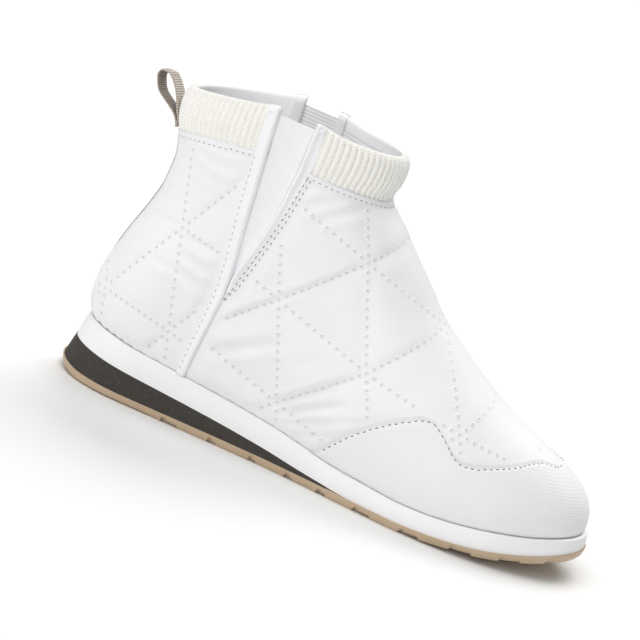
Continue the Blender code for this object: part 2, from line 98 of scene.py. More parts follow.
GUARD_ROWS = ((124, 4), (134.2, 16.4), (142.2, 26.8), (150.8, 36.6), (160.5, 44.9), (170.5, 51.1),
              (176.8, 53.8), (180.6, 54.2), (184.3, 52.7), (188.8, 49.6), (193.3, 46.1), (197.6, 43.2),
              (202.1, 41.9), (206.6, 42.3), (211, 43.6), (219.4, 46.3), (230, 50.4), (241, 55.5),
              (252, 61))
print("tables:", len(SOLE_ROWS), "sole rows,", len(LAST_ROWS), "last rows")


# %% Curves through the tables
def smooth_curve(knots, values, where):
    """Cubic through the knots that rises and falls only where the table does."""
    where = np.clip(np.asarray(where, dtype=float), knots[0], knots[-1])
    step = np.diff(knots)
    secant = np.diff(values) / step
    same = secant[:-1] * secant[1:] > 0.0
    mean = 2.0 * secant[:-1] * secant[1:] / np.where(same, secant[:-1] + secant[1:], 1.0)
    slope = np.concatenate([secant[:1], np.where(same, mean, 0.0), secant[-1:]])
    i = np.clip(np.searchsorted(knots, where, side="right") - 1, 0, len(step) - 1)
    t = (where - knots[i]) / step[i]
    return ((1 + 2 * t) * (1 - t) ** 2 * values[i] + t * (1 - t) ** 2 * step[i] * slope[i]
            + t ** 2 * (3 - 2 * t) * values[i + 1] - t ** 2 * (1 - t) * step[i] * slope[i + 1])


def from_table(rows, columns):
    """Function of a column's name and a place, for a table whose first column is the place."""
    table = np.array(rows)
    return lambda name, where: smooth_curve(table[:, 0], table[:, columns.index(name)], where)


def ease(low, high, value):
    """0 below low, 1 above high, a smooth step between."""
    t = np.clip((value - low) / (high - low), 0.0, 1.0)
    return t * t * (3.0 - 2.0 * t)


sole = from_table(SOLE_ROWS, SOLE_COLUMNS)
last = from_table(LAST_ROWS, LAST_COLUMNS)
collar = from_table(COLLAR_ROWS, COLLAR_COLUMNS)
gore = from_table(GORE_ROWS, GORE_COLUMNS)
tail = from_table(TAIL_ROWS, TAIL_COLUMNS)
guard = from_table(GUARD_ROWS, GUARD_COLUMNS)
GORE_POINT, GORE_RIM = GORE_ROWS[0][0], GORE_ROWS[-2][0]


def opening_edge(name):
    """Rear or front edge of the side opening, and below its point the line of the tape down to the sole."""
    return lambda z: np.where(z > GORE_POINT, gore(name, z), tail("x", z))


rear_edge, front_edge = opening_edge("rear"), opening_edge("front")
print("opening at the rim, mm:", round(float(front_edge(GORE_RIM) - rear_edge(GORE_RIM)), 1))

# %% [markdown]
# ## The wall of the upper
#
# A boot's upper is cloth pulled over a last.  Low down its plan follows the sole, higher up it becomes the
# oval of a leg, and over the forefoot it closes in a dome to the ridge of the instep.  One function gives
# the outer wall for any height and any share of the way from heel to toe, so panels, collar, elastic,
# tapes and guard all lie on one form.  A subdivided cage could be drawn instead, but then every seam
# would have to be fitted by eye.

# %% The wall as a function
# Share of the sole's half width at the upper's foot, the dome's two powers, the foot's swell and its reach.
FOOT_SHARE, DOME, FOOT_BULGE, SWELL_REACH = 0.945, (2.6, 1.9), 1.2, 0.5
# Power of the leg's oval, and the heights over which the foot becomes the leg.
LEG_POWER, LEG_BLEND = 2.3, (58.0, 112.0)
# The upper's plan is shorter than the sole's: the x over which heel and toe are drawn in, and its tip.
HEEL_SHIFT, TOE_SHIFT, TOE_X = (20.0, 110.0), (160.0, 250.0), 266.5
RIDGE_Z, RIDGE_STEPS = (26.0, 135.5), 240
OUTER, INNER = -1.0, 1.0
SHORTEST = 1e-9


def end_round(distance, size):
    """Share of the full width left at a distance from a rounded end."""
    length, power = size
    left = 1.0 - np.clip(distance / length, 0.0, 1.0)
    return (1.0 - left ** power) ** (1.0 / power)


def sole_half(x):
    """Half width of the sole, closing to nothing at heel and toe."""
    return sole("half_width", x) * end_round(x, HEEL_ROUND) * end_round(SOLE_LENGTH - x, TOE_ROUND)


def ridge_height(x):
    """Height of the instep's ridge above a place along the boot."""
    z = np.linspace(*RIDGE_Z, RIDGE_STEPS)
    front = last("front", z)
    return np.interp(x, front[::-1], z[::-1]) + np.maximum(front[-1] - x, 0.0)


def wall(tau, side, z):
    """Outer wall, tau from heel (0) to toe (1): a dome over the sole that blends into an oval leg."""
    back, front = last("back", z), last("front", z)
    x = back + (front - back) * (1.0 - np.cos(np.pi * tau)) / 2.0
    plan_x = x - back * (1.0 - ease(*HEEL_SHIFT, x)) + (SOLE_LENGTH - TOE_X) * ease(*TOE_SHIFT, x)
    base = sole("foam_top", x)
    rise = np.clip((z - base) / np.maximum(ridge_height(x) - base, 1.0), 0.0, 1.0)
    ends = end_round(plan_x, HEEL_ROUND) * end_round(SOLE_LENGTH - plan_x, TOE_ROUND)
    swell = FOOT_BULGE * ends * np.sin(np.pi * np.clip(rise / SWELL_REACH, 0.0, 1.0))
    foot = (FOOT_SHARE * sole_half(plan_x) + swell) * (1.0 - rise ** DOME[0]) ** (1.0 / DOME[1])
    along = np.abs(2.0 * (x - back) / (front - back) - 1.0)
    leg = last("leg_half", z) * np.maximum(1.0 - along ** LEG_POWER, 0.0) ** (1.0 / LEG_POWER)
    blend = ease(*LEG_BLEND, z)
    y = (1.0 - blend) * sole("centre", plan_x) + side * ((1.0 - blend) * foot + blend * leg)
    return np.stack([x, y, z + 0.0 * x], axis=-1)


def tau_at(x, z):
    """Share of the way from heel to toe at which the wall has a given x."""
    back, front = last("back", z), last("front", z)
    return np.arccos(1.0 - 2.0 * np.clip((x - back) / (front - back), 0.0, 1.0)) / np.pi


def unit(vectors):
    """The same vectors at length one."""
    return vectors / np.maximum(np.linalg.norm(vectors, axis=-1, keepdims=True), SHORTEST)


def outward(grid):
    """Unit normals of a grid whose columns run round the boot and whose rows run up."""
    return unit(np.cross(np.gradient(grid, axis=1), np.gradient(grid, axis=0)))


def on_wall(x, z, side, lift):
    """Points a given height above the wall, for places given by x and z on one side of the boot."""
    step = 0.4
    at = wall(tau_at(x, z), side, z)
    ahead = wall(tau_at(x + step, z), side, z) - wall(tau_at(x - step, z), side, z)
    above = wall(tau_at(x, z + step), side, z + step) - wall(tau_at(x, z - step), side, z - step)
    normal = unit(-side * np.cross(ahead, above))
    return at + np.asarray(lift)[..., None] * normal, normal


PLAN_STATIONS = 2001
SOLE_BACK = 0.4
plan_x = np.linspace(0.0, SOLE_LENGTH, PLAN_STATIONS)
centre, half = sole("centre", plan_x), sole_half(plan_x)
plan_middle = ((centre - half).min() + (centre + half).max()) / 2.0
sole_low, sole_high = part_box("outsole")
sole_middle = (sole_low.y + sole_high.y) / 2.0 / MM
ORIGIN = np.array([sole_low.x / MM - SOLE_BACK, sole_middle - plan_middle, 0.0])
print("table origin in the frame, mm:", ORIGIN.round(2))

# %% [markdown]
# ## From arrays to pieces
#
# A grid of points becomes a mesh in one step: numpy lays out the corners of all its faces, and Blender
# takes the whole lists.  Closed forms repeat their first row or column at the end, so a cloth pattern runs
# on to the seam without a smear; points that coincide are then merged, which closes seams and poles.

# %% Mesh helpers
WELD = 2e-6


def grid_faces(rows, columns):
    """Corners of the quads of a grid, row by row."""
    corner = np.arange(rows * columns).reshape(rows, columns)
    quads = [corner[:-1, :-1], corner[:-1, 1:], corner[1:, 1:], corner[1:, :-1]]
    return np.stack(quads, axis=-1).reshape(-1, 4)


def add_piece(name, points, faces, finish, uv=None, inner=None, sharp=None, replaces=()):
    """One piece of the boot from points in table millimetres; inner is (material, mask of faces)."""
    mesh = bpy.data.meshes.new(name)
    places = (points.reshape(-1, 3) + ORIGIN) * MM
    mesh.from_pydata(places.tolist(), [], faces if isinstance(faces, list) else faces.tolist())
    mesh.materials.append(finish)
    if uv is not None:
        corner = np.empty(len(mesh.loops), dtype=np.int32)
        mesh.loops.foreach_get("vertex_index", corner)
        layer = mesh.uv_layers.new(name="cloth")
        layer.data.foreach_set("uv", uv.reshape(-1, 2)[corner].astype(np.float32).ravel())
    if inner:
        mesh.materials.append(inner[0])
        mesh.polygons.foreach_set("material_index", np.asarray(inner[1], dtype=np.int32))
    shape = bmesh.new()
    shape.from_mesh(mesh)
    bmesh.ops.remove_doubles(shape, verts=shape.verts, dist=WELD)
    bmesh.ops.recalc_face_normals(shape, faces=shape.faces)
    shape.to_mesh(mesh)
    shape.free()
    mesh.shade_smooth()
    if sharp:
        mesh.set_sharp_from_angle(angle=np.radians(sharp))
    piece = bpy.data.objects.new(name, mesh)
    bpy.context.scene.collection.objects.link(piece)
    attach(piece, "root")
    if replaces:
        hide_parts(*replaces)
    print(name, len(mesh.polygons), "faces")
    return piece


def shell(outer, inner):
    """Closed wall between two equal grids: points, faces and the mask of its inner faces."""
    rows, columns = outer.shape[:2]
    points = np.concatenate([outer, inner[::-1], outer[:1]])
    faces = grid_faces(2 * rows + 1, columns)
    mask = np.arange(len(faces)) // (columns - 1) >= rows
    front = np.arange(rows) * columns
    back = (2 * rows - 1 - np.arange(rows)) * columns
    ends = [np.stack([front[:-1], front[1:], back[1:], back[:-1]], axis=-1) + c for c in (0, columns - 1)]
    faces = np.concatenate([faces] + ends)
    return points, faces, np.concatenate([mask, np.zeros(2 * (rows - 1), dtype=bool)])


def shell_uv(u, v):
    """Pattern places for a closed wall, the same on its two faces."""
    flat = np.stack([u, v], axis=-1)
    return np.concatenate([flat, flat[::-1], flat[:1]])


def strip_faces(rows, columns):
    """Quads of a closed profile carried along a path, with a cap at each end."""
    caps = [list(range(columns - 1))[::-1], list(range((rows - 1) * columns, rows * columns - 1))]
    return grid_faces(rows, columns).tolist() + caps


def run_length(grid, axis):
    """Distance along one axis of a grid from its first line."""
    step = np.linalg.norm(np.diff(grid, axis=axis), axis=-1)
    start = np.zeros_like(np.take(step, [0], axis=axis))
    return np.concatenate([start, np.cumsum(step, axis=axis)], axis=axis)


def walk(path, pitch):
    """Places at an even pitch along a line, from half a pitch in, as shares of its points' numbers."""
    length = run_length(path, 0)
    return np.interp(np.arange(0.5 * pitch, length[-1], pitch), length, np.arange(len(path)))


def pick(values, at):
    """Values between the rows of an array, straight from one row to the next."""
    low = np.clip(at.astype(int), 0, len(values) - 2)
    share = (at - low).reshape(-1, *([1] * (values.ndim - 1)))
    return values[low] * (1.0 - share) + values[low + 1] * share


def repeat(form, at, along, up):
    """Copies of a small closed grid, turned to its own three axes at each place: points and faces of all."""
    along = unit(along)
    axes = np.stack([along, unit(np.cross(up, along)), up], axis=1)[:, None, None]
    spread = at[:, None, None] + (form[..., None] * axes).sum(axis=-2)
    rows, columns = form.shape[:2]
    first = np.arange(len(at))[:, None, None] * rows * columns
    return spread, (grid_faces(rows, columns)[None] + first).reshape(-1, 4)


print("a grid of 3 by 4 points has", len(grid_faces(3, 4)), "faces")

# %% [markdown]
# ## Camera, floor and light
#
# The picture is a catalogue shot: a long lens a little above the boot, turned about its own axis, over a
# white floor.  Three broad, soft suns light it, one overhead that leans to the camera and the heel, one
# from behind and a weaker one from the camera's side.  They give the quilting its gentle shading, and the
# floor throws light back under the sole.

# %% Camera, floor and lamps
IMAGE = 640.0
SENSOR = 36.0
FOCAL = 2665.0 * SENSOR / IMAGE
VIEW_FROM = np.array([235.0, -1249.1, 330.6])
VIEW_AT = np.array([113.2, -20.0, 72.8])
VIEW_ROLL = np.radians(22.1)
SKY_STRENGTH = 0.24


def linear(code):
    """Linear colour from an sRGB hex value."""
    srgb = np.array([int(code[i:i + 2], 16) for i in (1, 3, 5)]) / 255.0
    value = np.where(srgb <= 0.04045, srgb / 12.92, ((srgb + 0.055) / 1.055) ** 2.4)
    return (*value.tolist(), 1.0)


def aimed(name, data, place, target, roll=0.0):
    """Object that looks from one place to another, both in table millimetres."""
    look = unit(target - place)
    right = unit(np.cross(look, [0.0, 0.0, 1.0]))
    up = np.cross(right, look)
    turned = np.cos(roll) * right + np.sin(roll) * up, np.cos(roll) * up - np.sin(roll) * right, -look
    obj = bpy.data.objects.new(name, data)
    bpy.context.scene.collection.objects.link(obj)
    matrix = np.eye(4)
    matrix[:3, :3] = np.stack(turned, axis=1)
    matrix[:3, 3] = (place + ORIGIN) * MM
    obj.matrix_world = Matrix(matrix.tolist())
    return obj


lens = bpy.data.cameras.new("catalogue_lens")
lens.sensor_width = SENSOR
lens.lens = FOCAL
bpy.context.scene.camera = aimed("camera", lens, VIEW_FROM, VIEW_AT, VIEW_ROLL)

# Columns: name, where it comes from, strength, softness in degrees.
SUNS = (
    ("overhead", (-420.0, -320.0, 1450.0), 1.42, 50.0),
    ("behind", (150.0, 950.0, 1150.0), 1.85, 40.0),
    ("camera_side", (-330.0, -1500.0, 460.0), 1.18, 60.0),
)
for name, place, power, softness in SUNS:
    lamp = bpy.data.lights.new(name, "SUN")
    lamp.energy = power
    lamp.angle = np.radians(softness)
    aimed(name, lamp, np.array(place), np.zeros(3))

FLOOR_HALF = 15.0
FLOOR_CELLS = 41
floor_line = np.linspace(-FLOOR_HALF, FLOOR_HALF, FLOOR_CELLS)
floor_x, floor_y = np.meshgrid(floor_line, floor_line)
floor_mesh = bpy.data.meshes.new("studio_floor")
floor_points = np.stack([floor_x, floor_y, 0.0 * floor_x], axis=-1).reshape(-1, 3)
floor_mesh.from_pydata(floor_points.tolist(), [], grid_faces(FLOOR_CELLS, FLOOR_CELLS).tolist())
floor = bpy.data.objects.new("studio_floor", floor_mesh)
bpy.context.scene.collection.objects.link(floor)

world = bpy.data.worlds.new("studio")
world.use_nodes = True
world.node_tree.nodes["Background"].inputs["Color"].default_value = linear("#ffffff")
world.node_tree.nodes["Background"].inputs["Strength"].default_value = SKY_STRENGTH
bpy.context.scene.world = world
bpy.context.scene.view_settings.view_transform = "Standard"
print("camera", round(float(np.linalg.norm(VIEW_FROM - VIEW_AT))), "mm away, lens", round(FOCAL), "mm")

# %% [markdown]
# ## Finishes
#
# Every finish starts from what the real material is and how it was made.  One small function adds a
# node, fills its sockets and makes its links; each material then needs only a few lines.  Patterns that
# follow the cloth read the piece's own map, which is in millimetres; grain and stains read Object
# coordinates.
# A few finishes also carry painted shade: the middles of the pressed dots, the stitches, the furrows of the
# rib knit and the inside of the pull loop.

# %% Node helper
# Sockets of a mix node that mixes colours: the two colours and the result.
MIX_LOW, MIX_HIGH, MIX_OUT = 6, 7, 2


def add_node(tree, kind, sockets, **settings):
    """Adds one node with its settings; each socket gets a value or a link, from a node its first output."""
    made = tree.nodes.new(kind)
    for name, value in settings.items():
        setattr(made, name, value)
    for name, value in sockets.items():
        value = value.outputs[0] if isinstance(value, bpy.types.Node) else value
        if isinstance(value, bpy.types.NodeSocket):
            tree.links.new(value, made.inputs[name])
        else:
            made.inputs[name].default_value = value
    return made


def new_finish(name, roughness, sheen=0.0):
    """Empty material with its roughness and cloth sheen: the material, its tree and its shader."""
    material = bpy.data.materials.new(name)
    material.use_nodes = True
    shader = material.node_tree.nodes["Principled BSDF"]
    shader.inputs["Roughness"].default_value = roughness
    shader.inputs["Sheen Weight"].default_value = sheen
    return material, material.node_tree, shader


def math_node(tree, operation, *values):
    """Math node over values or links."""
    return add_node(tree, "ShaderNodeMath", dict(enumerate(values)), operation=operation)


def ramp(tree, value, low, high):
    """Value brought from its range to 0 to 1."""
    return add_node(tree, "ShaderNodeMapRange", {"Value": value, "From Min": low, "From Max": high})


def waves(tree, place, pitch):
    """Even waves from -1 to 1 along a coordinate, one for each pitch."""
    return math_node(tree, "SINE", math_node(tree, "MULTIPLY", place, 2.0 * np.pi / pitch))


def from_zero(tree, wave):
    """Waves from -1 to 1 brought to 0 to 1."""
    return math_node(tree, "MULTIPLY_ADD", wave, 0.5, 0.5)


def colour_between(tree, shader, low, high, share):
    """Base colour that goes from one hex colour to another with a share from 0 to 1."""
    sockets = {0: share, MIX_LOW: linear(low), MIX_HIGH: linear(high)}
    mix = add_node(tree, "ShaderNodeMix", sockets, data_type="RGBA")
    tree.links.new(mix.outputs[MIX_OUT], shader.inputs["Base Color"])


def cloth_map(tree):
    """The piece's own map, in millimetres, as separate coordinates."""
    place = add_node(tree, "ShaderNodeUVMap", {}, uv_map="cloth")
    return add_node(tree, "ShaderNodeSeparateXYZ", {0: place}).outputs


def spots(tree, size_mm, detail=2.0):
    """Soft cloudy noise from 0 to 1 whose spots are about a given size, on Object coordinates."""
    place = add_node(tree, "ShaderNodeTexCoord", {})
    sockets = {"Vector": place.outputs["Object"], "Scale": 1.0 / (size_mm * MM), "Detail": detail}
    return add_node(tree, "ShaderNodeTexNoise", sockets).outputs["Fac"]


def relief(tree, shader, height, depth_mm, grain_mm=None):
    """Bump of a given depth in millimetres from a height, to which grain of a given size may be added."""
    if grain_mm:
        height = math_node(tree, "ADD", height, spots(tree, grain_mm))
    bump = add_node(tree, "ShaderNodeBump", {"Height": height, "Distance": depth_mm * MM, "Strength": 1.0})
    tree.links.new(bump.outputs["Normal"], shader.inputs["Normal"])


def plain_finish(name, low, high, roughness, cloud_mm, grain=None, sheen=0.0, detail=2.0):
    """Finish without a pattern: soft clouds between two close colours; grain is its size and depth in mm."""
    material, tree, shader = new_finish(name, roughness, sheen)
    colour_between(tree, shader, low, high, spots(tree, cloud_mm, detail))
    if grain:
        relief(tree, shader, spots(tree, grain[0]), grain[1])
    return material


print("node helpers ready")

# %% Cloth finishes
WEB_PITCH = 1.15


def nylon_taffeta():
    """Smooth woven nylon over padding: bright, softly glossy, with faint waves where it is stretched."""
    material, tree, shader = new_finish("white_nylon_taffeta", roughness=0.58, sheen=0.1)
    colour_between(tree, shader, "#ebebed", "#f0f0f2", spots(tree, size_mm=24.0))
    weave, weave_share, stretch = spots(tree, size_mm=0.9), 0.25, spots(tree, size_mm=7.0)
    relief(tree, shader, math_node(tree, "MULTIPLY_ADD", weave, weave_share, stretch), depth_mm=0.25)
    return material


def pressed_dot():
    """Nylon melted by the quilting wheel: a small hard crater whose middle is greyer and pinker, partly its
    own tint and partly painted shade of the hollow.
    """
    material, tree, shader = new_finish("pressed_dot_tint_and_painted_shade", roughness=0.42)
    # The middle's grey is partly the melted nylon's tint and partly painted shade of the crater's hollow.
    colour_between(tree, shader, "#cbc8ca", "#ededef", cloth_map(tree)[0])
    relief(tree, shader, spots(tree, size_mm=0.6), depth_mm=0.05)
    return material


def soft_lining():
    """Brushed knit inside the boot: white, plain along the rim and below that with fine darker rows."""
    material, tree, shader = new_finish("brushed_lining", roughness=0.9, sheen=0.3)
    from_rim = cloth_map(tree)[1]
    below = ramp(tree, from_rim, low=6.0, high=6.8)
    lines = math_node(tree, "MULTIPLY", from_zero(tree, waves(tree, from_rim, pitch=1.8)), below)
    colour_between(tree, shader, "#fdfdfd", "#e0e0e4", lines)
    relief(tree, shader, math_node(tree, "MULTIPLY", lines, -1.0), depth_mm=0.03)
    return material


def rib_knit():
    """Ivory rib knit: each rib is a column of small chevrons, with a warm shadow in the furrow beside it."""
    material, tree, shader = new_finish("ivory_rib_knit", roughness=0.85, sheen=0.35)
    lean, loop_share, ground = 2.4, 0.18, 0.82
    rib, height, _ = cloth_map(tree)
    across = math_node(tree, "PINGPONG", rib, 0.5)
    loops = waves(tree, math_node(tree, "MULTIPLY_ADD", across, lean, height), pitch=1.5)
    crest = ramp(tree, across, low=0.03, high=0.13)
    tone = math_node(tree, "MULTIPLY_ADD", loops, loop_share, ground)
    colour_between(tree, shader, "#e9e5d9", "#f6f5f2", math_node(tree, "MULTIPLY", tone, crest))
    relief(tree, shader, math_node(tree, "MULTIPLY", loops, crest), depth_mm=0.09)
    return material


def woven_elastic():
    """Elastic webbing: flat, pale grey-white, with fine ribs across its stretch."""
    material, tree, shader = new_finish("woven_elastic", roughness=0.75, sheen=0.2)
    colour_between(tree, shader, "#e9e9ec", "#f0f0f2", spots(tree, size_mm=9.0))
    relief(tree, shader, waves(tree, cloth_map(tree)[1], pitch=1.3), depth_mm=0.008, grain_mm=0.8)
    return material


def twill_tape():
    """Cotton twill binding: diagonal cords so fine that they are drawn a little coarser, to show."""
    material, tree, shader = new_finish("twill_binding", roughness=0.7, sheen=0.25)
    u, v, _ = cloth_map(tree)
    cords = waves(tree, math_node(tree, "ADD", u, v), pitch=1.25)
    colour_between(tree, shader, "#efeff1", "#f3f3f5", from_zero(tree, cords))
    relief(tree, shader, cords, depth_mm=0.02, grain_mm=0.9)
    return material


def guard_weave():
    """Tight matte weave of the toe guard, greyer on its turned edge; its ribs are drawn coarser, to show."""
    material, tree, shader = new_finish("toe_guard_weave", roughness=0.78, sheen=0.15)
    colour_between(tree, shader, "#e1e1e2", "#ebebec", ramp(tree, cloth_map(tree)[0], low=1.5, high=1.9))
    place = add_node(tree, "ShaderNodeTexCoord", {})
    axes = add_node(tree, "ShaderNodeSeparateXYZ", {0: place.outputs["Object"]}).outputs
    along, up = (waves(tree, axes[name], pitch=1.3 * MM) for name in "XZ")
    relief(tree, shader, math_node(tree, "ADD", along, up), depth_mm=0.03, grain_mm=0.7)
    return material


def webbing(name, low, high):
    """Taupe ribbon with strong cross ribs, darker between them."""
    material, tree, shader = new_finish(name, roughness=0.8, sheen=0.2)
    ribs = from_zero(tree, waves(tree, cloth_map(tree)[1], WEB_PITCH))
    colour_between(tree, shader, low, high, ribs)
    relief(tree, shader, ribs, depth_mm=0.18, grain_mm=0.6)
    return material


NYLON = nylon_taffeta()
DOT = pressed_dot()
LINING = soft_lining()
KNIT = rib_knit()
ELASTIC = woven_elastic()
TWILL = twill_tape()
GUARD = guard_weave()
# Twisted polyester thread, sunk in its needle holes; its colours are darker than the cloth's, as painted
# shade of those holes.
DARK_SHADED_THREAD = plain_finish("stitch_painted_shade_dark", "#626267", "#828288", roughness=0.6, cloud_mm=1.2)
GREY_SHADED_THREAD = plain_finish("stitch_painted_shade_grey", "#828287", "#9c9ca2", roughness=0.6, cloud_mm=1.2)
PALE_SHADED_THREAD = plain_finish("stitch_painted_shade_pale", "#a9a9ad", "#c6c6ca", roughness=0.6, cloud_mm=1.2)
WEBBING = webbing("taupe_webbing", "#aa9f93", "#d3cac0")
# A darker copy of the webbing: painted shade for the inside of the pull loop.
WEBBING_PAINTED_SHADE = webbing("taupe_webbing_painted_shade", "#857a6d", "#b0a496")
print("cloth finishes:", len(bpy.data.materials))


# %% Sole finishes
def dark_foam():
    """Cut black EVA foam: warm black, matte, with paler cells here and there."""
    material, tree, shader = new_finish("black_eva_foam", roughness=0.8)
    cells = ramp(tree, spots(tree, size_mm=1.6), low=0.58, high=0.75)
    colour_between(tree, shader, "#38342f", "#494540", cells)
    relief(tree, shader, spots(tree, size_mm=0.9), depth_mm=0.15)
    return material


# Moulded white EVA foam: satin, with the faint pebble of its mould.
FOAM = plain_finish("white_eva_foam", "#f0f0f1", "#f5f5f6", roughness=0.52, cloud_mm=30.0, grain=(0.8, 0.06))
BLACK = dark_foam()
# Natural gum rubber: tan, with a satin moulded skin.
GUM = plain_finish("gum_rubber", "#b69e82", "#c7b297", roughness=0.48, cloud_mm=16.0, grain=(1.1, 0.08))
# Pressed felt footbed: pale grey and fuzzy.
FELT = plain_finish("felt_insole", "#cfcfd2", "#e2e2e4", roughness=0.95, cloud_mm=3.0, grain=(0.8, 0.3),
                    sheen=0.4, detail=4.0)
# White studio paper, matte.
PAPER = plain_finish("studio_paper", "#ebebea", "#eeeeed", roughness=0.9, cloud_mm=300.0)
floor_mesh.materials.append(PAPER)
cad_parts["insole"].data.materials[0] = FELT
print("finishes:", len(bpy.data.materials))

# %% [markdown]
# ## The quilted panels
#
# The upper is two padded panels: one round the heel, one round the toe, sewn together under the rear
# binding.  A wheel of hot pins has welded the cloth to its padding along three sets of straight lines, so
# the panel swells in soft triangles between rows of small dots.  Cloth simulation could swell it, but the
# lines must fall where they do on the real boot, so the swelling is a function of the distance to the
# nearest line, and the larger folds are placed one by one.

# %% Panel grids
SETTLE = 14
GAP = 0.3
PANEL_ROWS = 150
FRONT_COLUMNS = 301
REAR_COLUMNS = 181
WALL_THICK = 2.8
THINNEST = 0.02
# First guess of the rows' heights: the lowest, and their span.
FIRST_Z, FIRST_SPAN = 30.0, 20.0


def settle(edge, to_toe, u, z, level):
    """Wall from one cut edge (u = -1) round toe or heel to the other (u = 1), at heights that follow from x.

    Heights and x depend on each other, so they are worked out in turn until they rest; the result is the
    last wall but one, the wall at rest, its side and its heights."""
    side = np.where(u < 0.0, OUTER, INNER) * (1.0 if to_toe else -1.0)
    for _ in range(SETTLE):
        cut = tau_at(edge(z), z)
        tau = cut + (1.0 - cut) * (1.0 - np.abs(u)) if to_toe else cut * np.abs(u)
        base = wall(tau, side, z)
        z = level(base[..., 0])
    return base, wall(tau, side, z), side, z


def panel_grid(edge, to_toe, columns, shares, top):
    """Patch of wall and its sides; each row has its share of the way from the foam up to a top line."""
    u, v = np.meshgrid(np.linspace(-1.0, 1.0, columns), shares)

    def level(x):
        """Heights of the rows, at the x of each point."""
        foot = sole("foam_top", x) + GAP
        return foot + np.maximum(top(x) - foot, THINNEST) * v

    return settle(edge, to_toe, u, FIRST_Z + FIRST_SPAN * v, level)[1:3]


def seam(x):
    """Height of the collar seam."""
    return collar("seam", x)


even_rows = np.linspace(0.0, 1.0, PANEL_ROWS)
front_base, front_side = panel_grid(front_edge, True, FRONT_COLUMNS, even_rows, seam)
rear_base, rear_side = panel_grid(rear_edge, False, REAR_COLUMNS, even_rows, seam)
print("front panel runs", round(float(run_length(front_base, 1)[PANEL_ROWS // 2, -1])), "mm round the toe")

# %% Quilting lines and folds
QUILT_HALF = 36.0
QUILT_ROUNDS = 6
# Columns: origin, step of the steep and of the rising lines, turn over the ridge, growth upwards, raised.
FRONT_QUILT = ((93.7, 77.1), (16.8, -45.6), (33.6, 30.1), (0.35, 0.18), (0.2, 3.05), 2.7)
REAR_QUILT = ((38, 91.1), (12, -48.8), (24.6, 41), (0.1, 0.24), (0, 0), 0)
# For the steep, rising and falling lines: depth, reach above and reach below.
LINE_SHAPE = ((0.7, 5.5, 5.5), (1, 1.5, 8), (0.7, 5.5, 5.5))
LINE_POWER = 1.6
PILLOW = 1.6
DEEPEST = -1.5

# Folds, from one end to the other: x and z of both ends, depth, and half width.
FRONT_FOLDS = (
    (85, 122, 105, 130.5, 0.9, 2.6), (95, 119, 116, 132, 1, 2.3), (70, 40, 102, 58.7, 0.8, 2.7),
    (106, 49, 125, 59, 0.25, 3), (108, 29.5, 138, 55.2, 0.9, 1.6), (115, 28.5, 142, 45, 1.05, 1.7),
    (124, 26.5, 157, 43, 0.5, 1.4), (114, 21, 124, 27, 0.35, 1.2), (122, 18.6, 138, 27, 0.4, 1.2),
    (70, 55.4, 124, 106.2, 0.4, 1.5), (126, 108, 138, 121, 0.5, 3),
)
REAR_FOLDS = (
    (27, 125.5, 57, 125, 0.9, 2.2), (31, 119.5, 54, 116.5, 0.7, 2), (15, 88.4, 37, 89.8, 0.45, 1.1),
    (11, 74.5, 31, 76.5, 0.5, 1.6), (38, 85, 61, 85.5, 0.5, 2.2), (40, 78.5, 65, 75, 1, 2.3),
    (43, 71.5, 65, 65, 1, 2.3), (28, 70, 43, 70.5, 0.5, 2),
)
# The inner side has the folds a little off, and weaker.
INNER_SHIFT, INNER_SHARE = (6.0, -5.0), 0.8
FOLD_SHARE = 1.35
# A fold starts this far before its end and is full that far in, as shares of its length.
FOLD_BEFORE, FOLD_FULL = 0.1, 0.3
# The ridge beside a fold: its share of the depth, and its distance in half widths.
FOLD_RIDGE, FOLD_RIDGE_AT = 0.5, 2.0


def lattice(grid, quilt):
    """Fields that are whole on the steep, rising and falling lines, and the spacing of each set."""
    origin, steep, rising, turn, growth, raised = map(np.array, quilt)
    inward = QUILT_HALF - np.abs(grid[..., 1])
    area = steep[0] * rising[1] - steep[1] * rising[0]
    i, j = np.zeros_like(inward), np.zeros_like(inward)
    # Lines lean towards the ridge, grow apart upwards and rise a little at the crossing under the collar.
    for _ in range(QUILT_ROUNDS):
        grown = np.maximum(j - 1.0, 0.0) * j
        upper = np.clip(j - i, 0.0, 1.0) * np.clip(2.0 - j, 0.0, 1.0)
        p = grid[..., 0] + turn[0] * inward - origin[0] - growth[0] * grown
        q = grid[..., 2] + turn[1] * inward - origin[1] - growth[1] * grown - raised * upper
        i = (rising[1] * p - rising[0] * q) / area
        j = (steep[0] * q - steep[1] * p) / area
    spacing = [area / np.linalg.norm(way) for way in (steep, rising, steep + rising)]
    return (j, i, i - j), spacing


def pillows(fields, spacing):
    """Padding height: a valley along each line, steeper from above, multiplied over the three sets."""
    height = 1.0
    for field, gap, (depth, above, below) in zip(fields, spacing, LINE_SHAPE):
        away = (field - np.round(field)) * gap
        reach = np.where(away < 0.0, above, below)
        height = height * (1.0 - depth * np.exp(-(np.abs(away) / reach) ** LINE_POWER))
    return PILLOW * height


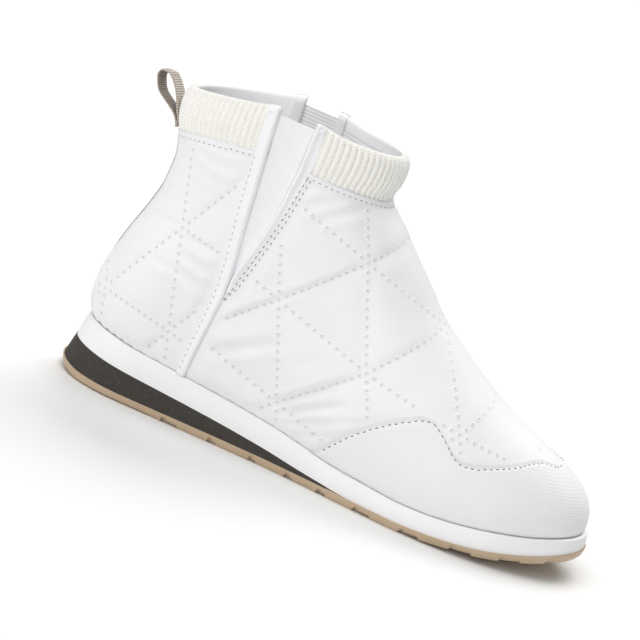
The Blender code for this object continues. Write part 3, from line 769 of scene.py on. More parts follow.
def folds(grid, side, rows):
    """Sum of soft troughs between low ridges, each along its own straight line and fading at its ends."""
    shift = np.where(side[..., None] == OUTER, 0.0, np.array(INNER_SHIFT))
    x, z = grid[..., 0] + shift[..., 0], grid[..., 2] + shift[..., 1]
    share = np.where(side == OUTER, 1.0, INNER_SHARE)
    height = np.zeros_like(x)
    for x0, z0, x1, z1, depth, width in rows:
        length = np.hypot(x1 - x0, z1 - z0)
        along = ((x - x0) * (x1 - x0) + (z - z0) * (z1 - z0)) / length ** 2
        off = np.abs((x - x0) * (z1 - z0) - (z - z0) * (x1 - x0)) / length / width
        window = ease(-FOLD_BEFORE, FOLD_FULL, along) * ease(-FOLD_BEFORE, FOLD_FULL, 1.0 - along)
        trough = np.exp(-off ** 2) - FOLD_RIDGE * np.exp(-(off - FOLD_RIDGE_AT) ** 2)
        height -= share * depth * window * trough
    return height


line_gaps = lattice(front_base, FRONT_QUILT)[1]
print("quilting lines in front are", [round(abs(float(gap)), 1) for gap in line_gaps], "mm apart")

# %% Relief of the panels
# Ways from flat to full padding: below the seam, above the sole and above the guard.
PIN_SEAM, PIN_SOLE, PIN_GUARD = (1.5, 7.0), (0.5, 6.0), (0.0, 5.0)
# Flat margin beside a cut edge, what a tape adds to it, where the tape begins, and the way to full padding.
MARGIN, TAPE_MARGIN, TAPE_BEGINS, PIN_CUT = 1.0, 5.5, (-6.0, 10.0), 6.0
# The guard's edge counts from this x forward; behind it the way to the guard is long.
GUARD_FROM, FAR_OFF = 132.0, 40.0
# Turned edge along the seam, and the tuck behind the sole: where it ends, and its height or depth.
SEAM_FOLD, SEAM_HEIGHT = (1.9, 2.8), 0.45
TUCK, TUCK_DEPTH = (0.0, 2.4), 0.6
# Gathers above the sole: depth, reach and pitch, and the slow swing that makes them uneven.
GATHER, GATHER_REACH, GATHER_PITCH, GATHER_GUARD = 0.4, 6.0, 6.3, (0.0, 4.0)
SWING, SWING_PITCH = 1.9, 6.1 * GATHER_PITCH
# Share of the padding on the middle line and at the sides, and the half widths between them.
FRONT_CALM, REAR_CALM = (0.15, 1.0, 15.0, 36.0), (0.0, 0.75, 5.5, 13.0)
# The padding ends towards the toe: over which x, and the share that stays.
TOE_CALM, TOE_LEFT = (140.0, 175.0), 0.22
# The heel swells beside the back tape: half widths where it begins and ends, and heights where it ends.
HEEL_SWELL, SWELL_FOOT, SWELL_TOP = 0.9, (0.0, 8.0), (56.0, 70.0)
SWELL_BEGINS, SWELL_ENDS = (4.8, 7.5), (10.0, 20.0)
# A dot stays this far from margin, seam, sole and guard, and needs some padding.
DOT_KEEPS, DOT_PADDING = (2.0, 6.5, 2.5, 2.0), 0.03


def panel_relief(grid, side, quilt, rows, taped, calm, swell):
    """Height of the cloth above the wall: pillows and folds, pinned at the edges and gathered at the sole.

    The quilting fields come with it, and the places where a dot may be pressed."""
    x, half, z = grid[..., 0], np.abs(grid[..., 1]), grid[..., 2]
    middle, sides, *calm_way = calm
    full = middle + (sides - middle) * ease(*calm_way, half)
    full = full * (1.0 - (1.0 - TOE_LEFT) * ease(*TOE_CALM, x))
    fields, spacing = lattice(grid, quilt)
    around, up = run_length(grid, 1), run_length(grid, 0)
    from_seam = up[-1:] - up
    from_guard = np.where(x > GUARD_FROM, z - guard("z", x), FAR_OFF)
    margin = MARGIN + TAPE_MARGIN * ease(taped + TAPE_BEGINS[0], taped + TAPE_BEGINS[1], z)
    from_margin = np.minimum(around, around[:, -1:] - around) - margin
    cut_pin = ease(0.0, PIN_CUT, from_margin)
    pinned = cut_pin * ease(*PIN_SEAM, from_seam) * ease(*PIN_SOLE, up) * ease(*PIN_GUARD, from_guard)
    padding = np.maximum(pillows(fields, spacing) + FOLD_SHARE * folds(grid, side, rows), DEEPEST)
    swing = SWING * np.sin(2.0 * np.pi * around / SWING_PITCH)
    ripple = np.sin(2.0 * np.pi * around / GATHER_PITCH + swing) * np.exp(-up / GATHER_REACH)
    beside = ease(*SWELL_BEGINS, half) * (1.0 - ease(*SWELL_ENDS, half))
    height = full * pinned * padding
    height += GATHER * ripple * ease(*GATHER_GUARD, from_guard) * cut_pin
    height += SEAM_HEIGHT * (1.0 - ease(*SEAM_FOLD, from_seam))
    height -= TUCK_DEPTH * (1.0 - ease(*TUCK, up))
    height += swell * beside * (1.0 - ease(*SWELL_TOP, z)) * ease(*SWELL_FOOT, up)
    ways = zip((from_margin, from_seam, up, from_guard), DOT_KEEPS)
    return height, fields, np.all([way > keep for way, keep in ways], axis=0) & (full > DOT_PADDING)


def add_panel(name, grid, side, *cut):
    """Padded panel with its lining: the quilted face and a smooth inner face a wall's thickness behind."""
    normal = outward(grid)
    height, fields, allowed = panel_relief(grid, side, *cut)
    face = grid + height[..., None] * normal
    points, faces, mask = shell(face, grid - WALL_THICK * normal)
    uv = shell_uv(run_length(grid, 1), run_length(grid, 0))
    piece = add_piece(name, points, faces, NYLON, uv, (LINING, mask), replaces=("upper",))
    return face, fields, allowed


front_cut = FRONT_QUILT, FRONT_FOLDS, GORE_POINT, FRONT_CALM, 0.0
rear_cut = REAR_QUILT, REAR_FOLDS, 0.0, REAR_CALM, HEEL_SWELL
front_face, front_fields, front_allowed = add_panel("vamp_panel", front_base, front_side, *front_cut)
rear_face, rear_fields, rear_allowed = add_panel("heel_panel", rear_base, rear_side, *rear_cut)

# %% [markdown]
# ## The pressed dots
#
# Each quilting line is a row of small craters about 2 mm wide and 4 mm apart, and lines that cross share
# one.  Eleven or twelve go to each step of the pattern.  A line is found where it passes between two
# neighbours of the panel's grid, along its rows or its columns.  One crater of a few dozen faces is then
# copied to all places by arrays, which is lighter than a finer panel; on the ridge the craters are fainter.

# %% Dots along the lines
# Dots to a step of the steep, rising and falling lines.
FRONT_STEPS, REAR_STEPS = (12, 12, 12), (12, 12, 11)
DOT_APART = 3.0
DOT_AHEAD = 0.2
# Profile of a crater from its middle outwards and down into the cloth: radius and height.
DOT_PROFILE = ((0, 0.1), (0.46, 0.11), (0.75, 0.27), (0.94, 0.29), (1.3, 0.1), (1.4, -0.25), (0, -0.5))
DOT_SIDES = 8
# Points of the profile over which the crater's grey middle, its own tint and painted shade, fades.
DOT_SHADED = 3.0
RIDGE_HALF = 24.0
RIDGE_STRENGTH = 0.45
# Behind this x and above this height the heel has no falling lines.
HEEL_PLAIN = (38.0, 70.0)
FAR = 1e3
# Fewest points that make a line, and how far inside the allowed part a dot has to be.
LINE_LEAST, DOT_INSIDE = 4, 0.9


def line_dots(field, number, share, face, normal, allowed):
    """Places on a panel where one field passes a number and a second one passes whole numbers."""
    off = field - number
    # Columns of a found point: share, place, normal, and whether a dot is allowed.
    values = [np.atleast_3d(value) for value in (share, face, normal, allowed)]
    found = []
    for first, second in ((np.s_[:, :-1], np.s_[:, 1:]), (np.s_[:-1], np.s_[1:])):
        hit = off[first] * off[second] < 0.0
        part = (off[first][hit] / (off[first][hit] - off[second][hit]))[:, None]
        found.append(np.hstack([v[first][hit] * (1.0 - part) + v[second][hit] * part for v in values]))
    line = np.concatenate(found)
    line = line[np.argsort(line[:, 0])]
    if len(line) < LINE_LEAST:
        return np.empty((0, 3)), np.empty((0, 3)), np.empty((0, 3))
    whole = np.arange(np.ceil(line[0, 0]), np.floor(line[-1, 0]) + 1.0)
    here, before, after = (pick(line, np.interp(whole + step, line[:, 0], np.arange(len(line))))
                           for step in (0.0, -DOT_AHEAD, DOT_AHEAD))
    kept = here[:, 7] > DOT_INSIDE
    return here[kept, 1:4], (after - before)[kept, 1:4], here[kept, 4:7]


def panel_dots(face, fields, steps, allowed, pressed):
    """Dots of a panel: each line on each side once, where its set is pressed, and none on top of another."""
    normal = outward(face)
    middle = face.shape[1] // 2
    found = []
    for k, field in enumerate(fields):
        share = fields[(1, 0, 0)[k]] * steps[k]
        for half in (slice(0, middle + 1), slice(middle, None)):
            low, high = int(np.ceil(field[:, half].min())), int(np.floor(field[:, half].max()))
            for number in range(low, high + 1):
                parts = (part[:, half] for part in (share, face, normal, allowed & pressed[k]))
                found.append(line_dots(field[:, half], number, *parts))
    at, along, up = (np.concatenate([part[k] for part in found]) for k in range(3))
    apart = np.linalg.norm(at[:, None] - at[None], axis=-1) + np.triu(np.full((len(at), len(at)), FAR))
    kept = apart.min(axis=1) > DOT_APART
    return at[kept], along[kept], unit(up[kept])


def add_dots(name, face, fields, steps, allowed, pressed, strength=1.0):
    """Craters: a profile turned about the wall's normal at each dot; a weaker one is lower and paler, with
    less tint and painted shade in its middle.
    """
    at, along, up = panel_dots(face, fields, steps, allowed, pressed)
    radius, height = np.array(DOT_PROFILE).T[:, :, None]
    height = np.where(height > 0.0, height * strength, height)
    angle = np.linspace(0.0, 2.0 * np.pi, DOT_SIDES + 1)
    crater = np.stack([radius * np.cos(angle), radius * np.sin(angle), height + 0.0 * angle], axis=-1)
    points, faces = repeat(crater, at, along, up)
    shade = 1.0 - strength * (1.0 - np.clip(np.arange(len(DOT_PROFILE)) / DOT_SHADED, 0.0, 1.0))
    uv = np.broadcast_to(np.stack([shade, shade], axis=-1)[None, :, None], (*points.shape[:3], 2))
    add_piece(name, points, faces, DOT, uv)
    print(len(at), "dots")


everywhere = np.ones_like(rear_allowed)
rear_falling = (rear_face[..., 0] > HEEL_PLAIN[0]) | (rear_face[..., 2] < HEEL_PLAIN[1])
rear_pressed = everywhere, everywhere, rear_falling
on_side = np.abs(front_face[..., 1]) > RIDGE_HALF
vamp = front_face, front_fields, FRONT_STEPS
all_sets = [np.ones_like(front_allowed)] * 3
add_dots("vamp_dots", *vamp, front_allowed & on_side, all_sets)
add_dots("ridge_dots", *vamp, front_allowed & ~on_side, all_sets, RIDGE_STRENGTH)
add_dots("heel_dots", rear_face, rear_fields, REAR_STEPS, rear_allowed, rear_pressed)

# %% [markdown]
# ## The rib-knit collar
#
# The collar is a doubled band of rib knit in two halves, folded over at the top so its rim is round.
# Its profile goes up the outside, over the fold and down the inside; ribs are real furrows across it, and
# the small loops of the knit are left to the finish.  Inside, the front half shows the lining's rows; the
# back half is plain.

# %% Collar halves
RIB_PITCH, RIB_DEPTH, RIB_FURROW, RIB_ROUND = 3.25, 0.55, 0.5, 0.16
RIB_STEPS = 10
CUFF_THICK, CUFF_SWELL, CUFF_SWELL_POWER = 4.0, 0.8, 0.8
# Near its ends a half is pressed flat under the tapes: by how much, and over which distance.
CUFF_PRESSED, CUFF_FREE = 0.4, (4.5, 8.0)
CUFF_INSIDE = 6.0
# Points up the outside, over the fold and down the inside, and the row on which ribs are counted.
PROFILE_STEPS = (12, 9, 10)
RIB_ROW = 6
FIRST_COLUMNS, CUFF_Z = 400, 150.0
# The map's height stops here, so the lining shows no rows where this is below its plain rim.
LINED, PLAIN = 40.0, 5.0


def cuff_profile():
    """Along the profile: offset from the wall, share of the way up, lift over the fold, furrow, inside."""
    half = CUFF_THICK / 2.0
    up, over, down = PROFILE_STEPS
    rise = np.linspace(0.0, 1.0, up)
    turn = np.linspace(0.0, np.pi, over)[1:-1]
    outside, fold = CUFF_SWELL * np.sin(np.pi * rise ** CUFF_SWELL_POWER), half * (np.cos(turn) - 1.0)
    offset = np.concatenate([outside, fold, np.full(down, -CUFF_THICK)])
    share = np.concatenate([rise, np.ones(over - 2), np.linspace(1.0, 0.0, down)])
    lift = np.concatenate([np.zeros(up), half * np.sin(turn), np.zeros(down)])
    furrow = np.concatenate([np.ones(up), 0.5 + 0.5 * np.cos(turn), np.zeros(down)])
    inside = np.concatenate([np.zeros(up + over - 2), np.ones(down)])
    return offset, share, lift, furrow, inside


def add_cuff(name, edge, to_toe, node, lined):
    """Half of the collar: the profile carried round the boot along the seam, with evenly spaced furrows."""
    offset, share, lift, furrow, inside = (part[:, None] for part in cuff_profile())

    def level(x):
        """Heights of the profile, at the x of each point."""
        low = collar("seam", x) + GAP - CUFF_INSIDE * inside
        return low + (collar("rim", x) - CUFF_THICK / 2.0 - low) * share + lift

    def band(columns):
        """The wall under the profile, and the profile's heights."""
        z = np.full((len(offset), columns), CUFF_Z)
        base, _, _, z = settle(edge, to_toe, np.linspace(-1.0, 1.0, columns), z, level)
        return base, z

    columns = int(run_length(band(FIRST_COLUMNS)[0], 1)[RIB_ROW, -1] / RIB_PITCH * RIB_STEPS)
    base, z = band(columns)
    around = np.gradient(base, axis=1)
    normal = unit(np.stack([around[..., 1], -around[..., 0], 0.0 * around[..., 0]], axis=-1))
    rib = run_length(base, 1)[RIB_ROW] / RIB_PITCH
    away = np.abs(rib - np.round(rib)) * RIB_PITCH
    ribs = RIB_DEPTH * (np.exp(-(away / RIB_FURROW) ** 2) - RIB_ROUND * (1.0 - np.cos(2.0 * np.pi * rib)))
    free = ease(*CUFF_FREE, np.minimum(rib, rib[-1] - rib) * RIB_PITCH)[None]
    swell = np.maximum(offset, 0.0) * free + np.minimum(offset, 0.0) - CUFF_PRESSED * furrow * (1.0 - free)
    grid = np.stack([base[..., 0], base[..., 1], z], axis=-1)
    grid = grid + (swell - furrow * free * ribs[None])[..., None] * normal
    grid = np.concatenate([grid, grid[:1]])
    climb = run_length(grid, 0)
    crest = PROFILE_STEPS[0] + PROFILE_STEPS[1] // 2 - 1
    uv = np.stack([np.broadcast_to(rib, climb.shape), np.minimum(climb - climb[crest], lined)], axis=-1)
    faces = grid_faces(len(grid), columns).tolist()
    caps = [[r * columns + end for r in range(len(grid) - 1)] for end in (0, columns - 1)]
    mask = np.append(np.arange(len(faces)) // (columns - 1) > crest, [False, False])
    add_piece(name, grid, faces + caps, KNIT, uv, (LINING, mask), replaces=(node,))
    print(round(float(rib[-1])), "ribs")


add_cuff("collar_knit_front", front_edge, True, "cuff_front", LINED)
add_cuff("collar_knit_back", rear_edge, False, "cuff_back", PLAIN)

# %% [markdown]
# ## Elastic gores and their bindings
#
# A strip of flat elastic fills each side opening, so the boot stretches over the heel.  The cut edges of
# the panels are bound with twill tape: a flat folded strip with a fuller roll along the opening.  Both are
# drawn on the wall's own function, a given height above or below it, so they follow the leg.

# %% Gores
GORE_TOP, GORE_FOOT = 157.6, 70.5
GORE_LEVEL, GORE_THICK = -1.3, 1.4
GORE_SAG, GORE_SAG_FULL = 0.8, 25.0
GORE_STEPS = (220, 15)
# A crease across the outer gore: height, depth and half width.
GORE_CREASE = (117.2, 0.3, 0.45)
SIDES = (("lateral", OUTER), ("medial", INNER))


def add_gore(name, side):
    """Elastic between the two edges of the opening: below the wall's face, and a little hollow."""
    up, across = np.linspace(GORE_FOOT, GORE_TOP, GORE_STEPS[0]), np.linspace(0.0, 1.0, GORE_STEPS[1])
    z, t = np.meshgrid(up, across, indexing="ij")
    x = gore("rear", z) + (gore("front", z) - gore("rear", z)) * t
    sag = GORE_SAG * np.sin(np.pi * t) * ease(GORE_FOOT, GORE_FOOT + GORE_SAG_FULL, z)
    crease_z, depth, width = GORE_CREASE
    crease = depth * np.exp(-((z - crease_z) / width) ** 2) * (side == OUTER)
    face, normal = on_wall(x, z, side, GORE_LEVEL - sag - crease)
    points, faces, mask = shell(face, face - GORE_THICK * normal)
    add_piece("gore_elastic_" + name, points, faces, ELASTIC, shell_uv(x, z), (LINING, mask),
              replaces=("gore_" + name,))


for side_name, side in SIDES:
    add_gore(side_name, side)

# %% Bindings
TAPE_COLUMNS = ("z", "rear", "front")
TAPE_ROWS = (
    (20, 4.6, 0.6), (62.5, 5, 0.6), (68, 5.2, 0.8), (75, 5.5, 3.6), (84, 5.6, 4.2), (100, 5.8, 4.2),
    (122, 6.1, 5.2), (137, 6, 5.9), (165, 5.4, 4.4),
)
tape = from_table(TAPE_ROWS, TAPE_COLUMNS)
# Across a tape: height of its flat strip, height of its roll, and the roll's place and half width.
REAR_PROFILE = (0.75, 0.9, 1.4, 1.2)
FRONT_PROFILE = (0.3, 1.6, 0.8, 1.7)
TAPE_POWER = 7
BINDING_STEPS, BINDING_ROWS = 22, 170
# Level of a tape's back, the deeper level beside the opening, and the share of the width where it begins.
BINDING_BACK, BINDING_DEEP, BINDING_INNER = -0.4, -2.6, 0.08
RIM_Z, RIM_LAP = 160.0, 0.5
END_ROUND, END_LEAST = 1.6, 0.02
# The front tape comes out of the seam above the opening's point, over these heights.
TAPE_OUT = (GORE_POINT - 2.0, GORE_POINT + 14.0)


def tape_height(w, width, profile):
    """Height across a tape: a flat strip and a fuller roll, rounded off at both edges by a high power."""
    strip, roll, roll_at, roll_half = profile
    middle = strip + roll * np.exp(-((w - roll_at) / roll_half) ** 2)
    return middle * np.sqrt(1.0 - np.abs(np.clip(2.0 * w / width - 1.0, -1.0, 1.0)) ** TAPE_POWER)


def rim_at(edge, offset):
    """Height of the collar's rim at a distance from an edge of the opening."""
    return collar("rim", edge(RIM_Z) + offset)


def add_binding(end, side_name, side, edge, ahead, profile, z_low):
    """Tape along an edge of the opening: its profile, closed underneath, carried up the wall to the rim."""
    across = (1.0 - np.cos(np.linspace(0.0, np.pi, BINDING_STEPS))) / 2.0
    share = np.concatenate([[0.0], across, [1.0, BINDING_INNER, 0.0]])[None]
    top = rim_at(edge, ahead * share * tape(end, RIM_Z)) + RIM_LAP
    z = z_low + (top - z_low) * np.linspace(0.0, 1.0, BINDING_ROWS)[:, None]
    width = tape(end, z)
    past = np.clip(z - (top - END_ROUND), 0.0, None) / END_ROUND
    sunk = ease(*TAPE_OUT, z) if ahead > 0.0 else 1.0
    end_drop = np.sqrt(np.clip(1.0 - past ** 2, END_LEAST, 1.0))
    lift = tape_height(share * width, width, profile) * end_drop * sunk
    lift[:, [0, -1]] = np.where(z > GORE_ROWS[1][0], BINDING_DEEP, BINDING_BACK)[:, [0, -1]]
    lift[:, -3:-1] = BINDING_BACK
    points, _ = on_wall(edge(z) + ahead * share * width, z, side, lift)
    uv = np.stack([share * width, z], axis=-1)
    add_piece(f"binding_{end}_tape_{side_name}", points, strip_faces(*z.shape), TWILL, uv,
              replaces=(f"binding_{end}_{side_name}",))


# Height near the foot of the rear tape, where its place along the sole is read.
FOOT_Z = 25.0
binding_foot = float(sole("foam_top", rear_edge(FOOT_Z))) + GAP
# Columns: which tape, its edge, whether it lies ahead of it or behind, its profile and its foot.
TAPES = (
    ("rear", rear_edge, -1.0, REAR_PROFILE, binding_foot),
    ("front", front_edge, 1.0, FRONT_PROFILE, GORE_POINT),
)
for side_name, side in SIDES:
    for end, *tape_row in TAPES:
        add_binding(end, side_name, side, *tape_row)

# %% Tape over the rim
CAP_THICK, CAP_RADIUS, CAP_SINK, CAP_DOWN = 0.8, 2.5, 0.4, 26.0
CAP_TURN, CAP_INSIDE = 15, 40
CAP_MAP = 6.0
# Round the strip's cross-section: share of its width, and share of its thickness.
CAP_SHARE = np.array([0.0, 0.06, 0.2, 0.5, 0.8, 0.94, 1.0, 0.94, 0.06, 0.0])[None]
CAP_LIFT = np.array([0.3, 0.75, 0.95, 1.0, 0.95, 0.75, 0.3, 0.0, 0.0, 0.3])[None] * CAP_THICK


def add_cap(name, side, edge, end, ahead):
    """End of a tape: over the rim in a half circle and down the inside, a flat closed strip."""
    turn = np.linspace(0.0, np.pi, CAP_TURN)
    down = np.linspace(0.0, CAP_DOWN, CAP_INSIDE + 1)[1:]
    middle = -CUFF_THICK / 2.0
    lift = np.concatenate([middle + CAP_RADIUS * np.cos(turn), np.full(CAP_INSIDE, middle - CAP_RADIUS)])
    z = np.concatenate([CAP_RADIUS * np.sin(turn), -down]) - CAP_RADIUS - CAP_SINK
    out = np.concatenate([np.cos(turn), np.full(CAP_INSIDE, -1.0)])[:, None]
    up = np.concatenate([np.sin(turn), np.zeros(CAP_INSIDE)])[:, None]
    z_all = rim_at(edge, ahead * CAP_SHARE * tape(end, RIM_Z)) + z[:, None] + CAP_LIFT * up
    x = edge(z_all) + ahead * CAP_SHARE * tape(end, z_all)
    points, _ = on_wall(x, z_all, side, lift[:, None] + CAP_LIFT * out)
    run = run_length(np.stack([lift, z, 0.0 * z], axis=1), 0)[:, None]
    uv = np.stack(np.broadcast_arrays(CAP_SHARE * CAP_MAP, run), axis=-1)
    add_piece(name, points, strip_faces(*z_all.shape), TWILL, uv)


for side_name, side in SIDES:
    for end, edge, ahead, *_ in TAPES:
        add_cap(f"binding_{end}_cap_{side_name}", side, edge, end, ahead)

# %% [markdown]
# ## The toe guard
#
# A guard of tight weave is sewn round the toe.  Its upper edge is folded under and dips in front of a peak
# on each side.  It is one patch of the wall from wing to wing round the toe, between the sole and that
# edge; its rows crowd towards the edge, where the fold and the stitched groove are.

# %% Guard
GUARD_START = 133.2
GUARD_STATIONS, GUARD_LINES, GUARD_CROWD = 299, 44, 1.7
GUARD_THICK, GUARD_UNDER = 1.0, 0.1
# Thinner folded edge: where the cloth steps up behind it, and by how much.
GUARD_FOLD, FOLD_STEP = (1.4, 2.6), 0.45
# Stitched groove: its distance from the edge, half width and depth.
GROOVE_AT, GROOVE_HALF, GROOVE_DEPTH = 2.2, 0.5, 0.25
GUARD_TUCK, GUARD_TUCK_DEPTH = (0.0, 2.0), 0.8
SLOPE_STEP = 0.5


def wing(z):
    """The guard's hindmost station, the same at every height."""
    return np.full_like(z, GUARD_START)


def guard_top(x):
    """Height of the guard's upper edge."""
    return guard("z", x)


crowded_rows = 1.0 - (1.0 - np.linspace(0.0, 1.0, GUARD_LINES)) ** GUARD_CROWD
guard_base, _ = panel_grid(wing, True, GUARD_STATIONS, crowded_rows, guard_top)
guard_x = guard_base[..., 0]
slope = (guard_top(guard_x + SLOPE_STEP) - guard_top(guard_x - SLOPE_STEP)) / (2.0 * SLOPE_STEP)
guard_up = run_length(guard_base, 0)
from_edge = (guard_up[-1:] - guard_up) / np.sqrt(1.0 + slope ** 2)
guard_normal = outward(guard_base)
guard_lift = GUARD_THICK - FOLD_STEP * (1.0 - ease(*GUARD_FOLD, from_edge))
guard_lift -= GROOVE_DEPTH * np.exp(-((from_edge - GROOVE_AT) / GROOVE_HALF) ** 2)
guard_lift -= GUARD_TUCK_DEPTH * (1.0 - ease(*GUARD_TUCK, guard_up))
guard_face = guard_base + guard_lift[..., None] * guard_normal
points, faces, _ = shell(guard_face, guard_base + GUARD_UNDER * guard_normal)
guard_uv = shell_uv(from_edge, guard_up)
add_piece("toe_guard_cloth", points, faces, GUARD, guard_uv, replaces=("toe_guard",))

# %% [markdown]
# ## Stitching
#
# Lock stitches show as short dashes of thread, about 3 mm apart: one row along the collar seam, one along
# the rear binding up to that seam, two beside the front binding, one inside the guard's edge.  Each stitch
# is one small closed bead, copied along its line.

# %% Stitch rows
STITCH_RINGS, STITCH_SIDES = 5, 6
# A stitch: length, width and height.
THREAD, GUARD_THREAD = (1.45, 0.52, 0.5), (1.7, 0.68, 0.55)
STITCH_PITCH = 3.15


def bead(length, width, height):
    """One stitch: an ellipsoid drawn from pole to pole."""
    pole = np.linspace(0.0, np.pi, STITCH_RINGS)[:, None]
    turn = np.linspace(0.0, 2.0 * np.pi, STITCH_SIDES + 1)[None]
    ball = [-np.cos(pole) + 0.0 * turn, np.sin(pole) * np.cos(turn), np.sin(pole) * np.sin(turn)]
    return np.stack(ball, axis=-1) * np.array([length, width, height]) / 2.0


def add_stitches(name, lines, finish, size=THREAD):
    """Stitches at an even pitch along lines, each given by its points and the wall's normals there."""
    places, ways, ups = [], [], []
    for path, normal in lines:
        at = walk(path, STITCH_PITCH)
        places.append(pick(path, at))
        ways.append(pick(np.gradient(path, axis=0), at))
        ups.append(pick(normal, at))
    places, ways, ups = map(np.concatenate, (places, ways, ups))
    points, faces = repeat(bead(*size), places, ways, unit(ups))
    add_piece(name, points, faces, finish)


def grid_line(grid, normal, away, wanted):
    """Line on a grid: in each column the point whose distance from an edge is nearest to the wanted one."""
    row = np.argmin(np.abs(away - wanted), axis=0)
    column = np.arange(grid.shape[1])
    return grid[row, column], normal[row, column], away[row, column]


SEAM_BELOW, SEAM_INSET = 2.6, slice(8, -8)
seams = []
for face in (front_face, rear_face):
    up = run_length(face, 0)
    path, normal, _ = grid_line(face, outward(face), up[-1:] - up, SEAM_BELOW)
    seams.append((path[SEAM_INSET], normal[SEAM_INSET]))
add_stitches("collar_seam_stitches", seams, GREY_SHADED_THREAD)

LINE_POINTS = 400
REAR_FROM_EDGE, REAR_FOOT = 0.7, 2.0
REAR_TOP = float(seam(rear_edge(GORE_ROWS[-3][0])))
# The front rows: distances from the tape's edge, their ends, the heights over which they part, and a lift.
FRONT_FROM_EDGE, FRONT_ENDS, FRONT_POINTS = (0.6, -1.3), (GORE_POINT - 1.0, 136.5), 300
FRONT_PART, FRONT_RISE = (GORE_POINT - 10.0, GORE_POINT + 14.0), (GORE_POINT, GORE_POINT + 14.0)
FRONT_LIFT = 0.15
rear_rows, front_rows = [], []
for _, side in SIDES:
    z = np.linspace(binding_foot + REAR_FOOT, REAR_TOP, LINE_POINTS)
    width = tape("rear", z)
    w = width - REAR_FROM_EDGE
    rear_rows.append(on_wall(rear_edge(z) - w, z, side, tape_height(w, width, REAR_PROFILE)))
    z = np.linspace(*FRONT_ENDS, FRONT_POINTS)
    width = tape("front", z)
    for distance in FRONT_FROM_EDGE:
        w = width - distance * ease(*FRONT_PART, z)
        on_tape = ease(*FRONT_RISE, z) * tape_height(w, width, FRONT_PROFILE)
        front_rows.append(on_wall(front_edge(z) + w, z, side, on_tape + FRONT_LIFT))
add_stitches("rear_binding_stitches", rear_rows, PALE_SHADED_THREAD)
add_stitches("front_binding_stitches", front_rows, GREY_SHADED_THREAD)

GUARD_NEAR = 0.8
path, normal, away = grid_line(guard_face, guard_normal, from_edge, GROOVE_AT)
near = np.abs(away - GROOVE_AT) < GUARD_NEAR
add_stitches("toe_guard_stitches", [(path[near], normal[near])], DARK_SHADED_THREAD, GUARD_THREAD)

# %% [markdown]
# ## Webbing at the heel
#
# A taupe ribbon runs up the back seam and stands off above it as a pull loop.  Cross ribs are part of the
# weave, so the ribbon's surface rises and falls along its path, and its edges are rounded.

# %% Back tape
TAPE_HALF = 5.0
TAPE_STEPS = (220, 13)
# Levels of the tape's back and face above the wall, and its lower and upper end.
TAPE_BACK, TAPE_FACE, TAPE_Z = 0.1, 0.55, (29.8, 128.6)
RIB_HEIGHT = 0.1
EDGE_DROP, EDGE_POWER = 0.85, 8
TAU_MOST, HALVINGS = 0.3, 30

q, v = np.meshgrid(np.linspace(-1.0, 1.0, TAPE_STEPS[1]), np.linspace(0.0, 1.0, TAPE_STEPS[0]))
tape_z = TAPE_Z[0] + (TAPE_Z[1] - TAPE_Z[0]) * v
# The tau at which the wall is half a tape's width off the back seam, by halving.
low, high = np.zeros_like(q), np.full_like(q, TAU_MOST)
for _ in range(HALVINGS):
    tau = (low + high) / 2.0
    wide = np.abs(wall(tau, OUTER, tape_z)[..., 1] - wall(0.0 * tau, OUTER, tape_z)[..., 1]) > TAPE_HALF
    low, high = np.where(wide, low, tau), np.where(wide, tau, high)
tape_base = wall(tau * np.abs(q), np.where(q < 0.0, INNER, OUTER), tape_z)
tape_normal = outward(tape_base)
tape_run = run_length(tape_base, 0)
tape_lift = TAPE_FACE * np.sqrt(1.0 - EDGE_DROP * np.abs(q) ** EDGE_POWER)
tape_lift += RIB_HEIGHT * np.sin(2.0 * np.pi * tape_run / WEB_PITCH)
tape_face = tape_base + tape_lift[..., None] * tape_normal
points, faces, _ = shell(tape_face, tape_base + TAPE_BACK * tape_normal)
tape_uv = shell_uv(q * TAPE_HALF, tape_run)
add_piece("back_tape_ribbon", points, faces, WEBBING, tape_uv, replaces=("back_tape",))

# %% Pull loop
# Path of the loop, x and z.
LOOP_ROWS = ((12.4, 128.6), (11, 132.4), (9, 134.9), (6, 137.2), (2.6, 139.5), (-0.6, 142),
             (-2.5, 145.3), (-3.7, 149), (-2.3, 151.6), (0.6, 151.6), (3.2, 149.9), (6, 146.6),
             (8.2, 143.1), (9.8, 139.4), (11, 135.8), (12.3, 132))
# Slant of the free loop across its width, and the heights over which it turns.
LOOP_TURN, LOOP_FREE = np.tan(np.radians(12.0)), (128.0, 139.0)
LOOP_THICK = 1.1
LOOP_POINTS, LOOP_SIDES = 300, 16
# Powers of the rounded cross-section, along its width and its thickness.
LOOP_FLAT, LOOP_ROUND = 0.35, 0.6


def rounded(value, power):
    """Power of a wave that keeps its sign, which squares off a circle."""
    return np.sign(value) * np.abs(value) ** power


knots = np.arange(-2, len(LOOP_ROWS) + 3)
at = np.linspace(0.0, len(LOOP_ROWS), LOOP_POINTS)
ring = [np.take(np.array(LOOP_ROWS)[:, k], knots, mode="wrap") for k in (0, 1)]
path = np.stack([smooth_curve(knots, values, at) for values in ring], axis=1)
way = np.gradient(path, axis=0)
way[0] = way[-1] = way[0] + way[-1]
across = unit(np.stack([way[:, 1], -way[:, 0]], axis=1))
loop_run = run_length(path, 0)
turn = np.linspace(0.0, 2.0 * np.pi, LOOP_SIDES + 1)
flat = rounded(np.cos(turn), LOOP_FLAT) * TAPE_HALF
thick = rounded(np.sin(turn), LOOP_ROUND) * LOOP_THICK / 2.0
wave = 1.0 + 2.0 * RIB_HEIGHT / LOOP_THICK * np.sin(2.0 * np.pi * loop_run / WEB_PITCH)
moved = path[:, None] + across[:, None] * (thick[None] * wave[:, None])[..., None]
